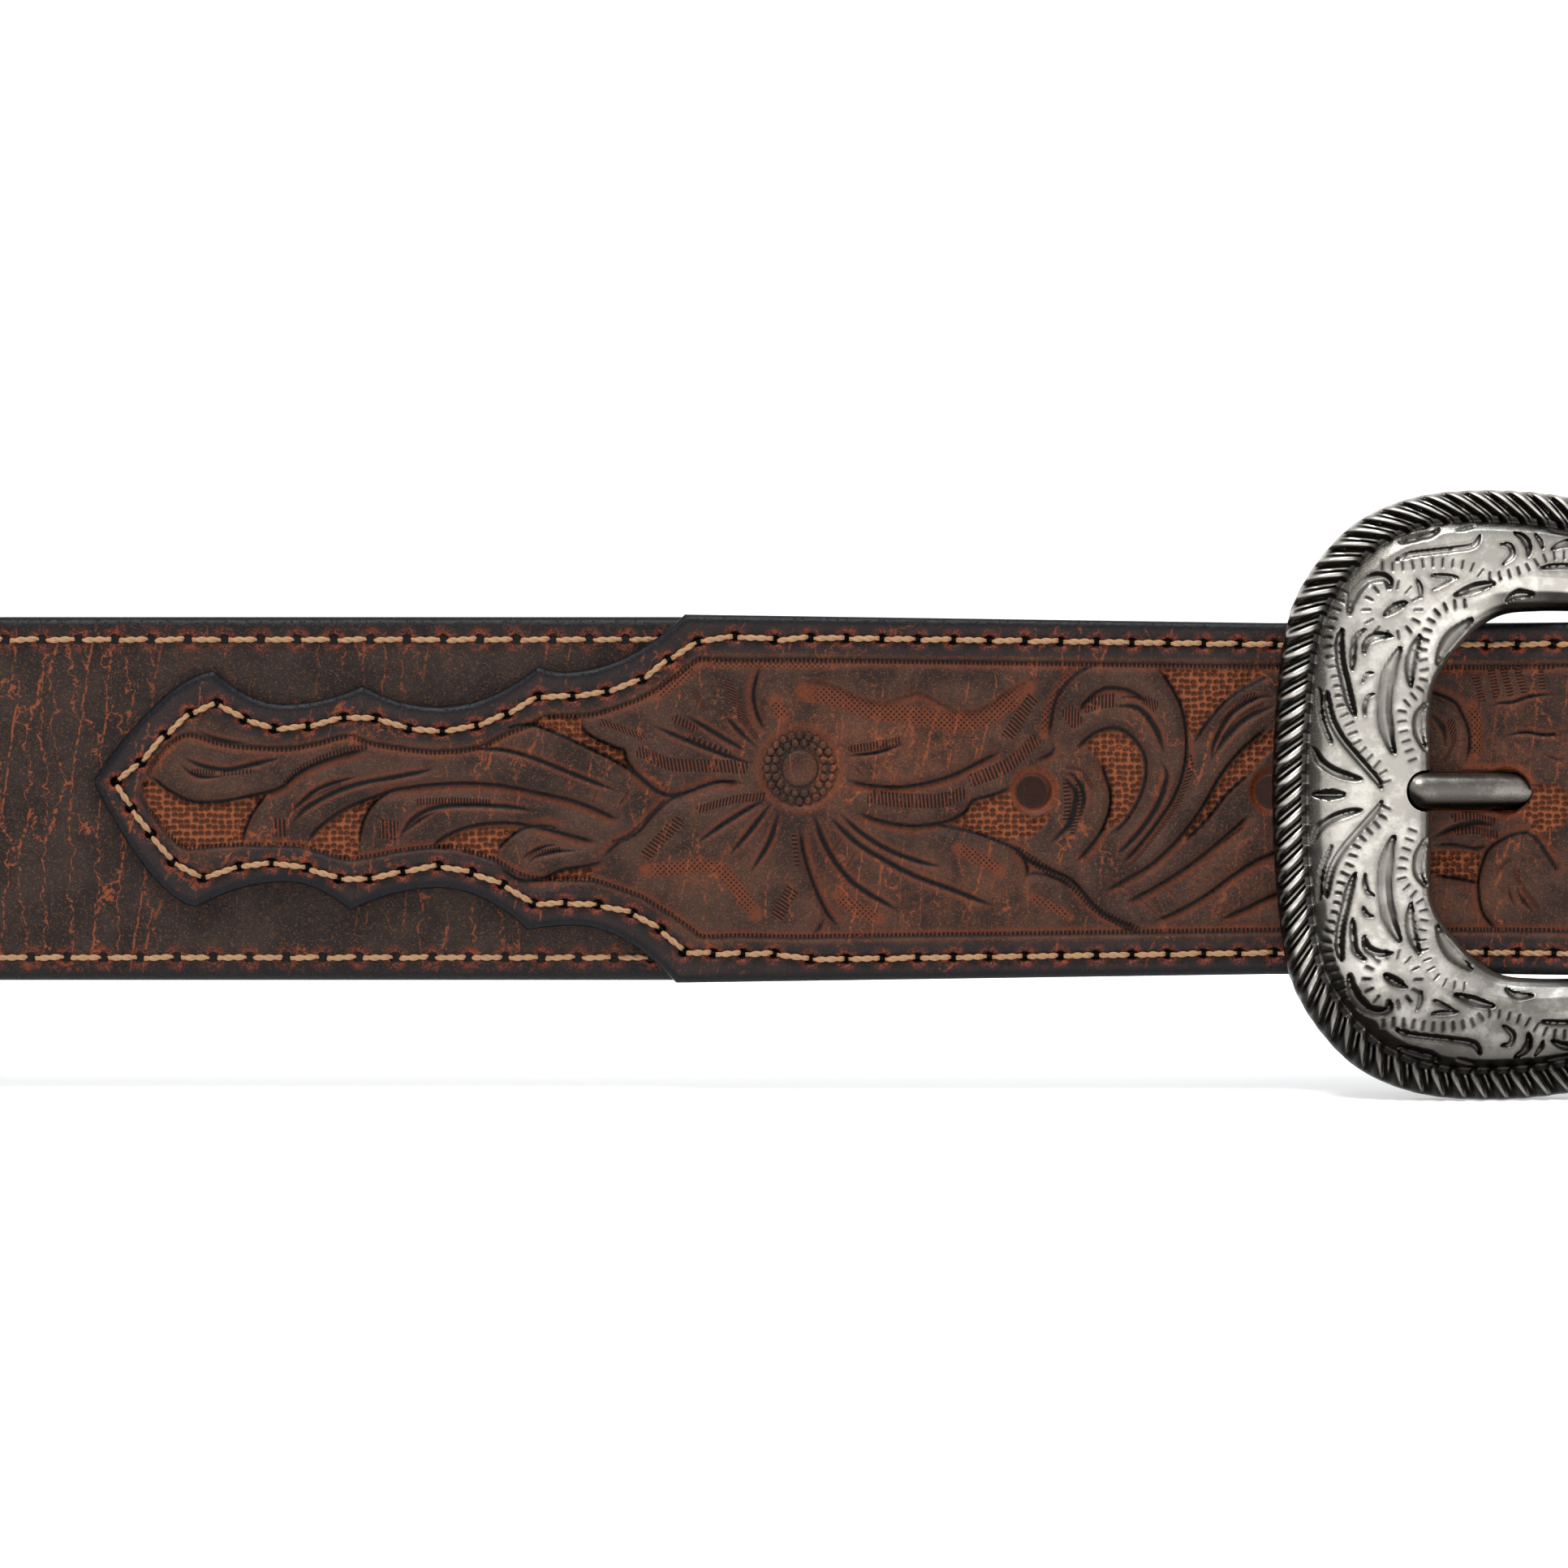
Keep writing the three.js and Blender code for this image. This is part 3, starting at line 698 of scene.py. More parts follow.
def silver_finish(name, light, worn, roughness):
    """Antique plate: dark patina in the cuts and low places, brighter where it is rubbed; painted shade on
    surfaces that face down and to the left, and on the lower limb.
    """
    silver = Finish(name)
    place = silver.vector("place")
    _, up, _ = silver.parts(place)
    smudge = silver.noise(place, 0.35, 5, 0.65)
    scratch = silver.noise(silver.scaled(place, 1, 6, 1), 1.6, 4, 0.7)
    fine = silver.noise(place, 6, 3, 0.7)
    color = silver.mix(silver.step(smudge, 0.42, 0.6), worn, light)
    # The patina mark is real patina on the plate and painted shade on the prong's lower half.
    soot_and_shade = silver.times(silver.value("patina_and_underside_shade"), silver.step(fine, 0.2, 0.6, 0.6, 1))
    color = silver.mix(soot_and_shade, color, SOFT_PATINA_AND_SHADE)
    # Painted shade: the buckle grows dark towards the bottom of its lower limb.
    low = silver.step(silver.times_plus(smudge, 8, up), -11, -22, 0, 0.75)
    color = silver.mix(low, color, LOW_LIMB_SHADE)
    color = silver.mix(silver.step(fine, 0.58, 0.78, 0, 0.4), color, SOFT_PATINA_AND_SHADE)
    # Painted shade: surfaces that face down and to the left are darkened, as if lit from the top right.
    shaded = silver.step(silver.lean(-0.6, 0, -0.8), 0.04, 0.4, 0, 0.95)
    color = silver.mix(shaded, color, DARK_PATINA_AND_SHADE)
    gaps = strand_gaps(silver)
    color = silver.mix(gaps, color, DARK_PATINA_AND_SHADE)
    color = silver.mix(silver.value("groove"), color, DARK_PATINA_AND_SHADE)
    rough = silver.step(smudge, 0.3, 0.7, roughness + 0.12, roughness)
    rough = silver.times_plus(silver.value("groove"), 0.25, rough)
    height = silver.times(scratch, 0.025)
    height = silver.times_plus(fine, 0.014, height)
    height = silver.times_plus(smudge, 0.1, height)
    return silver.finish(color, rough, height, 0.6, metallic=1.0)


def strand_gaps(silver):
    """The black gap after each strand of the rope, with a fine bright line left in it."""
    rope = silver.value("rope")
    part = silver.math("FRACT", silver.value("phase"))
    gap = silver.times(silver.step(part, 0.42, 0.5), silver.step(part, 1.0, 0.95))
    line = silver.step(silver.math("ABSOLUTE", silver.math("SUBTRACT", part, 0.7)), 0.075, 0.03, 0, 0.65)
    gap = silver.times(gap, silver.math("SUBTRACT", 1, line))
    gap = silver.times(gap, silver.step(rope, 1.99, 1.84))
    foot = silver.step(rope, 1.22, 1.02, 0, 0.85)
    return silver.times(silver.math("MAXIMUM", gap, foot), silver.step(rope, 0.05, 0.35))


def thread_finish():
    """Waxed tan thread, darker and rusty in places."""
    thread = Finish("waxed_thread")
    place = thread.vector("place")
    fibre = thread.noise(thread.scaled(place, 3, 3, 3), 4, 3, 0.7)
    soil = thread.noise(place, 0.3, 3, 0.6)
    color = thread.mix(thread.step(fibre, 0.35, 0.7), THREAD_DARK, THREAD_LIGHT)
    color = thread.mix(thread.step(soil, 0.5, 0.75, 0, 0.35), color, THREAD_SOILED)
    color = thread.mix(thread.step(thread.value("strand"), 0, 1, 0, 0.25), color, THREAD_DARK)
    return thread.finish(color, 0.72, thread.times(fibre, 0.08), 0.8)


# Strap


def leather_section(thickness, width, rounding, face_count):
    """Outline of a strap of leather: out and up, from the bottom of its outer face, upward."""
    half, side = thickness / 2, width / 2
    round_out = min(rounding, half * 0.9)
    turns = np.linspace(0, math.pi / 2, CORNER_POINTS)
    up = np.linspace(-side + rounding, side - rounding, face_count)
    top = [
        (half - round_out + round_out * math.cos(a), side - rounding + rounding * math.sin(a))
        for a in turns
    ]
    back = [(-out, z) for out, z in reversed(top)]
    upper = top[1:] + back[:-1]
    inner = [(-half, z) for z in up[::-1]]
    lower = [(-out, -z) for out, z in upper]
    outer = [(half, z) for z in up]
    return np.array(outer + upper + inner + lower)


def chape_stations():
    """The fold round the heel bar, as x, y and thickness."""
    radius = FOLD_RADIUS + CHAPE_THICKNESS / 2
    leaf_back = STRAP_THICKNESS + GAP + CHAPE_THICKNESS / 2
    rows = []
    for share in np.linspace(1, 0, SKIVE_STATIONS):
        thickness = lerp(CHAPE_THICKNESS, STRAP_THICKNESS, share)
        rows.append((HEEL_X + SKIVE_LENGTH * (0.1 + share), thickness / 2, thickness))
    for turn in np.linspace(0, math.pi, FOLD_STATIONS)[1:]:
        rows.append((HEEL_X - radius * math.sin(turn), HEEL_Y - radius * math.cos(turn), CHAPE_THICKNESS))
    for share in np.linspace(0, 1, SETTLE_STATIONS)[1:]:
        y = lerp(HEEL_Y + radius, leaf_back, smooth(share))
        rows.append((HEEL_X + CHAPE_SETTLE * share, y, CHAPE_THICKNESS))
    for share in np.linspace(0, 1, SETTLE_STATIONS)[1:]:
        rows.append((HEEL_X + lerp(CHAPE_SETTLE, CHAPE_RETURN, share), leaf_back, CHAPE_THICKNESS))
    return rows


def leather_rings(x, y, thickness, width, rounding, face_count):
    """Rings of points along a path that runs with its outward side on the right."""
    across = np.column_stack([np.gradient(y), -np.gradient(x)])
    across /= np.linalg.norm(across, axis=1)[:, None]
    sections = np.array([
        leather_section(thick, wide, min(rounding, wide / 4), face_count)
        for thick, wide in zip(thickness, width)
    ])
    out, up = sections[..., 0], sections[..., 1]
    return np.stack([x[:, None] + out * across[:, :1], y[:, None] + out * across[:, 1:], up], axis=-1)


def strap_stations():
    """The whole strap from the end of its fold to its tip: run, x, y, thickness and width."""
    chape = np.array(chape_stations()[::-1])
    skived = STRAIGHT / 2 - HEEL_X - SKIVE_LENGTH * 1.1
    loop = np.linspace(LOOP_START - skived, BEND_RUN, LOOP_STATIONS)[1:]
    billet = np.linspace(BEND_RUN, TIP_RUN - TIP_LENGTH, BILLET_STATIONS)[1:]
    tip = TIP_RUN - TIP_LENGTH * np.linspace(1, 0, TIP_STATIONS)[1:] ** 2
    runs = np.concatenate([loop, billet, tip])
    x, y = strap_middle(runs)
    lengths = np.hypot(np.diff(chape[:, 0]), np.diff(chape[:, 1]))
    chape_runs = LOOP_START - skived - np.concatenate([np.cumsum(lengths[::-1])[::-1], [0]])
    widening = smooth((runs - LOOP_START) / (BEND_LENGTH / 4))
    width = np.where(runs < SHOULDER_RUN, lerp(CHAPE_WIDTH, STRAP_WIDTH, widening), width_at(runs))
    return (
        np.concatenate([chape_runs, runs]),
        np.concatenate([chape[:, 0], x]),
        np.concatenate([chape[:, 1], y]),
        np.concatenate([chape[:, 2], np.full(len(runs), float(STRAP_THICKNESS))]),
        np.concatenate([np.full(len(chape), CHAPE_WIDTH), width]),
    )


def edge_share(up, width, reach=0.8):
    """1 on the dressed edge, falling to 0 a little way in on the face."""
    return 1 - smooth((width / 2 - np.abs(up) - EDGE_ROUNDING * 0.7) / reach)


def flesh_side_and_shade(around):
    """Marks the points of a ring on the strap's inner face with a rusty tone and painted shade, dark as the
    inside of the loop.
    """
    marks = np.zeros(around)
    start = around // 2
    marks[start:start + STRAP_FACE_POINTS] = FLESH_TONE_AND_SHADE
    return marks


def make_strap(material):
    runs, x, y, thickness, width = strap_stations()
    rings = leather_rings(x, y, thickness, width, EDGE_ROUNDING, STRAP_FACE_POINTS)
    points, faces = capped_tube(rings)
    around = rings.shape[1]
    up = rings[..., 2]
    place = np.stack([np.repeat(runs[:, None], around, 1), up, np.ones_like(up)], axis=-1)
    ends = np.array([[runs[0], 0, 1], [runs[-1], 0, 1]])
    flesh_and_shade = flesh_side_and_shade(around)
    attributes = {
        "place": np.vstack([place.reshape(-1, 3), ends]),
        "edge": np.concatenate([edge_share(up, width[:, None]).ravel(), [1, 1]]),
        "stitched": np.ones(len(points)),
        # Painted shade on the inner face goes through the groove mark, its rusty tone through the rust mark.
        "groove": np.concatenate([np.tile(flesh_and_shade, len(rings)), [0, 0]]),
        "rust": np.concatenate([np.tile(flesh_and_shade, len(rings)), [0, 0]]),
    }
    sharp = np.zeros(len(points), bool)
    sharp[:around] = True
    sharp[-around - 2:] = True
    piece = make_mesh("strap_leather_body", points, faces, material, attributes, sharp)
    slot_half = EYE_WIDTH / 2 + GAP
    slot = box_object(
        (HEEL_X - FOLD_REACH, -GAP / 2, HOLE_RISE - slot_half),
        (HEEL_X + FOLD_RADIUS + EYE_WALL + GAP, HEEL_Y + FOLD_REACH, HOLE_RISE + slot_half),
    )
    carve(piece, [slot, *punches(), shank_object("prong_room", PRONG_RADIUS + GAP), *prong_slot()])
    return finish_piece(piece, "strap_leather", "strap")


# Cutting


def box_object(low, high, name="cutter", material=None):
    corners = np.array([
        [(low, high)[i][0], (low, high)[j][1], (low, high)[k][2]]
        for i in (0, 1) for j in (0, 1) for k in (0, 1)
    ])
    faces = np.array([
        [0, 1, 3, 2], [4, 6, 7, 5], [0, 4, 5, 1], [2, 3, 7, 6], [0, 2, 6, 4], [1, 5, 7, 3],
    ])
    return make_mesh(name, corners, [faces], material)


def round_bar(name, start, end, radii, sides, material=None, shares=None, bend=0):
    """A round bar between two places, with its radius at each share of the way, bent back in between."""
    start, end = np.array(start, float), np.array(end, float)
    way = (end - start) / np.linalg.norm(end - start)
    side = np.cross(way, [0, 0, 1])
    side = side / np.linalg.norm(side) if np.linalg.norm(side) > 0.1 else np.array([1.0, 0, 0])
    rise = np.cross(side, way)
    turns = np.linspace(0, 2 * math.pi, sides, endpoint=False)
    shares = np.linspace(0, 1, len(radii)) if shares is None else np.asarray(shares)
    rings = np.array([
        start + (end - start) * share + np.array([0, bend * math.sin(math.pi * share) ** 2, 0])
        + radius * (np.cos(turns)[:, None] * side + np.sin(turns)[:, None] * rise)
        for share, radius in zip(shares, radii)
    ])
    points, faces = capped_tube(rings)
    return make_mesh(name, points, faces, material)


def hole_runs():
    return [HOLE_RUN + (index - (HOLE_COUNT - 1) / 2) * HOLE_PITCH for index in range(HOLE_COUNT)]


def punches():
    """Tapered cutters for the punched holes; the middle one is left to the prong's own room."""
    cutters = []
    for run in hole_runs():
        if run == HOLE_RUN:
            continue
        reach = 2 * (STRAP_THICKNESS + OVERLAY_LIFT)
        ends = [on_strap(run, out, HOLE_RISE) for out in (-reach / 2, reach)]
        cutters.append(round_bar("cutter", *ends, PUNCH_RADII, CUTTER_SIDES))
    return cutters


def shank_ends(radius):
    """Tip and heel of the prong's shank, at the belt's height of the holes."""
    tip = np.array([
        FRAME_LEFT + END_BAR_WIDTH - PRONG_OVERLAP - radius + PRONG_RADIUS,
        END_BAR_BACK - NOTCH_FLOOR - GAP - PRONG_RADIUS,
        HOLE_RISE,
    ])
    heel = np.array([HEEL_X - FOLD_RADIUS - GAP, HEEL_Y - HEEL_BAR_RADIUS / 2, HOLE_RISE])
    return tip, heel


def shank_profile(radius, length, rounds=12, rings=14):
    turns = np.linspace(0.06, math.pi / 2, rounds)
    shares = radius * (1 - np.cos(turns)) / length
    along = np.linspace(shares[-1], 1, rings)[1:]
    radii = np.concatenate([radius * np.sin(turns), np.full(rings - 1, radius)])
    return np.concatenate([shares, along]), radii


def shank_object(name, radius, material=None, sides=CUTTER_SIDES):
    tip, heel = shank_ends(radius)
    shares, radii = shank_profile(radius, np.linalg.norm(heel - tip))
    return round_bar(name, tip, heel, radii, sides, material, shares, PRONG_BEND)


def prong_slot():
    """Cutters for the slot that the prong has pressed into the leather, with its round right end."""
    far = on_strap(SLOT_END, 2 * OVERLAY_FRONT, HOLE_RISE)
    floor = on_strap(SLOT_END, OVERLAY_FRONT - SLOT_DEPTH, HOLE_RISE)
    low = [far[0] - SLOT_LENGTH, far[1], HOLE_RISE - SLOT_HALF]
    high = [far[0], floor[1], HOLE_RISE + SLOT_HALF]
    return [box_object(low, high), round_bar("cutter", floor, far, [SLOT_HALF] * 2, CUTTER_SIDES)]


def settle(piece):
    """Turns a piece's modifiers into its mesh."""
    graph = bpy.context.evaluated_depsgraph_get()
    settled = bpy.data.meshes.new_from_object(piece.evaluated_get(graph))
    piece.modifiers.clear()
    old, piece.data = piece.data, settled
    bpy.data.meshes.remove(old)


def carve(piece, cutters, operation="DIFFERENCE"):
    """Cuts the cutters out of a piece, or joins them to it, and removes them."""
    for cutter in cutters:
        modifier = piece.modifiers.new("carve", "BOOLEAN")
        modifier.operation = operation
        modifier.solver = "EXACT"
        modifier.object = cutter
        settle(piece)
        bpy.data.objects.remove(cutter)
    mesh = piece.data
    while len(mesh.materials) > 1:
        mesh.materials.pop()
    mesh.polygons.foreach_set("material_index", np.zeros(len(mesh.polygons), np.int32))
    mesh.set_sharp_from_angle(angle=SHARP_ANGLE)
    place_new_points(piece)


def place_new_points(piece):
    """Gives the points that a cut made their place on the leather."""
    mesh = piece.data
    if "place" not in mesh.attributes:
        return
    local = turned(point_vectors(mesh).astype(float) / MM, -TILT) - OFFSET
    place = point_vectors(mesh, "place")
    new = place[:, 2] < 0.5
    place[new] = np.column_stack([local[new, 0] - FRAME_LEFT, local[new, 2], np.zeros(new.sum())])
    mesh.attributes["place"].data.foreach_set("vector", place.ravel())


# Overlay


def scallop_height(rows, tip_height, share):
    """Height of one side of the scalloped end, as a share of the half width."""
    along, out, _ = rows[0]
    height = np.ones_like(share)
    first = share <= along
    height[first] = out - (out - tip_height) * (1 - share[first] / along) ** POINT_FULLNESS
    for before, after in zip(rows, rows[1:]):
        here = (share > before[0]) & (share <= after[0])
        valley, peak = (before, after) if before[2] else (after, before)
        reach = (share[here] - valley[0]) / (peak[0] - valley[0])
        height[here] = valley[1] + (peak[1] - valley[1]) * reach ** 2
    return height


def overlay_edges(runs):
    """Top and bottom of the overlay at each run."""
    half = STRAP_WIDTH / 2 + OVERLAY_PROUD
    rise = TIP_RISE / half
    share = (runs + OVERLAY_REACH) / SCALLOP_LENGTH
    covered = width_at(runs) / 2 + OVERLAY_PROUD
    top = np.where(share <= 1, half * scallop_height(UPPER_SCALLOPS, rise, share), covered)
    bottom = np.where(share <= 1, -half * scallop_height(LOWER_SCALLOPS, -rise, share), -covered)
    return top, bottom


def across_shares(count):
    """Shares across the leather, closer together near its two edges."""
    weights = np.ones(count)
    weights[:10] = weights[-10:] = 0.5
    shares = np.concatenate([[0], np.cumsum(weights)])
    return shares / shares[-1]


def make_overlay_piece(name, start, end, spacing, count, material):
    runs = np.linspace(start, end, max(int((end - start) / spacing), 4) + 1)
    top, bottom = overlay_edges(runs)
    shares = across_shares(count)
    up = bottom[:, None] + (top - bottom)[:, None] * shares
    run_grid = np.repeat(runs[:, None], len(shares), axis=1)
    height, marks = tooled_surface(run_grid, up)
    front = on_strap(run_grid, OVERLAY_FRONT + height, up)
    back_level = STRAP_THICKNESS / 2 + GAP
    back_shares = np.linspace(1, 0, BACK_POINTS)
    inset = np.minimum(0.2, (top - bottom) / 6)
    back_up = (bottom + inset)[:, None] + (top - bottom - 2 * inset)[:, None] * back_shares
    back_runs = np.repeat(runs[:, None], BACK_POINTS, axis=1)
    back = on_strap(back_runs, back_level, back_up)
    rings = np.concatenate([front, back], axis=1)
    count_of_rings, around = rings.shape[:2]
    points = rings.reshape(-1, 3)
    cap = strip_cap(len(shares), BACK_POINTS)
    last = (count_of_rings - 1) * around
    faces = [tube_quads(count_of_rings, around), np.vstack([cap[:, ::-1], last + cap])]
    place = np.concatenate([
        np.stack([run_grid, up, np.ones_like(up)], axis=-1),
        np.stack([back_runs, back_up, np.ones_like(back_up)], axis=-1),
    ], axis=1).reshape(-1, 3)
    attributes = {"place": place}
    for key, values in marks.items():
        back_value = np.full((len(runs), BACK_POINTS), 1.0 if key == "edge" else 0.0)
        attributes[key] = np.concatenate([values, back_value], axis=1).ravel()
    sharp = np.zeros(len(points), bool)
    sharp[:around] = True
    sharp[-around:] = True
    return make_mesh(name, points, faces, material, attributes, sharp)


def strip_cap(front_count, back_count):
    """Triangles that close an end between the many points in front and the few behind."""
    faces = []
    behind = 0
    for index in range(front_count - 1):
        wanted = round((index + 1) / (front_count - 1) * (back_count - 1))
        while behind < wanted:
            faces.append((index, back_number(front_count, back_count, behind),
                          back_number(front_count, back_count, behind + 1)))
            behind += 1
        faces.append((index, back_number(front_count, back_count, behind), index + 1))
    return np.array(faces)


def back_number(front_count, back_count, behind):
    """Number in its ring of a point behind, counted from the bottom up."""
    return front_count + back_count - 1 - behind


def make_overlay(material):
    pieces = []
    for index, (spacing, count) in enumerate(zip(OVERLAY_STEPS, OVERLAY_ACROSS)):
        start, end = OVERLAY_CUTS[index:index + 2]
        piece = make_overlay_piece(f"overlay_{index + 1}", start, end, spacing, count, material)
        room = shank_object("prong_room", PRONG_RADIUS + GAP / 2)
        carve_near(piece, [*punches(), room, *prong_slot()])
        pieces.append(finish_piece(piece, "tooled_leather", "billet_overlay"))
    return pieces


def carve_near(piece, cutters):
    """Carves with the cutters that reach the piece and removes the others."""
    low, high = object_box(piece)
    near = []
    for cutter in cutters:
        cut_low, cut_high = object_box(cutter)
        if (cut_low <= high).all() and (cut_high >= low).all():
            near.append(cutter)
        else:
            bpy.data.objects.remove(cutter)
    carve(piece, near)


def object_box(piece):
    points = point_vectors(piece.data)
    return points.min(0), points.max(0)


NOWHERE = np.zeros(0, int), np.zeros(0), np.zeros(0)


class Field:
    """Heights and marks at a set of places, to which each tool mark adds its own."""

    def __init__(self, along, up, names=("groove", "rust", "matting", "stipple", "edge")):
        self.along = np.ascontiguousarray(along, float).ravel()
        self.up = np.ascontiguousarray(up, float).ravel()
        self.height = np.zeros(self.along.size)
        self.marks = {name: np.zeros(self.along.size) for name in names}
        self.low, self.high = self.along.min(), self.along.max()

    def near(self, line, reach):
        """The places near a line: their numbers, signed distances and shares of its length."""
        low, high = line.min(0) - reach, line.max(0) + reach
        if low[0] > self.high or high[0] < self.low:
            return NOWHERE
        inside = (self.along > low[0]) & (self.along < high[0]) & (self.up > low[1]) & (self.up < high[1])
        chosen = np.nonzero(inside)[0]
        u, v = self.along[chosen], self.up[chosen]
        best = np.full(chosen.size, 1e9)
        side = np.ones(chosen.size)
        share = np.zeros(chosen.size)
        steps = np.diff(line, axis=0)
        lengths = np.hypot(steps[:, 0], steps[:, 1])
        total = lengths.sum()
        passed = 0.0
        for (a, b), (du, dv), length in zip(line[:-1], steps, lengths):
            t = np.clip(((u - a) * du + (v - b) * dv) / length ** 2, 0, 1)
            off_u, off_v = u - a - t * du, v - b - t * dv
            distance = np.hypot(off_u, off_v)
            closer = distance < best
            best = np.where(closer, distance, best)
            side = np.where(closer, np.sign(du * off_v - dv * off_u), side)
            share = np.where(closer, (passed + t * length) / total, share)
            passed += length
        kept = best < reach
        return chosen[kept], (best * side)[kept], share[kept]

    def sink(self, chosen, depth):
        """Lowers the ground to a depth; where marks cross, the deeper one counts most."""
        here = -self.height[chosen]
        deep, shallow = np.maximum(here, depth), np.minimum(here, depth)
        self.height[chosen] = -(deep + 0.5 * shallow)

    def mark(self, name, chosen, strength):
        marks = self.marks[name]
        marks[chosen] = np.maximum(marks[chosen], strength)


def with_ends(points):
    """The points with one more beyond each end, for a curve through them."""
    return np.vstack([2 * points[0] - points[1], points, 2 * points[-1] - points[-2]])


def curve_through(points, spacing=0.35):
    """A smooth line through chosen points (Catmull-Rom)."""
    points = np.asarray(points, float)
    if len(points) < 3:
        return points
    padded = with_ends(points)
    line = [points[0]]
    for a, b, c, d in zip(padded, padded[1:], padded[2:], padded[3:]):
        count = max(int(np.hypot(*(c - b)) / spacing), 1)
        for t in np.linspace(0, 1, count + 1)[1:]:
            line.append(0.5 * (
                2 * b + (c - a) * t + (2 * a - 5 * b + 4 * c - d) * t ** 2
                + (3 * b - 3 * c + d - a) * t ** 3
            ))
    return np.array(line)


# Tooling

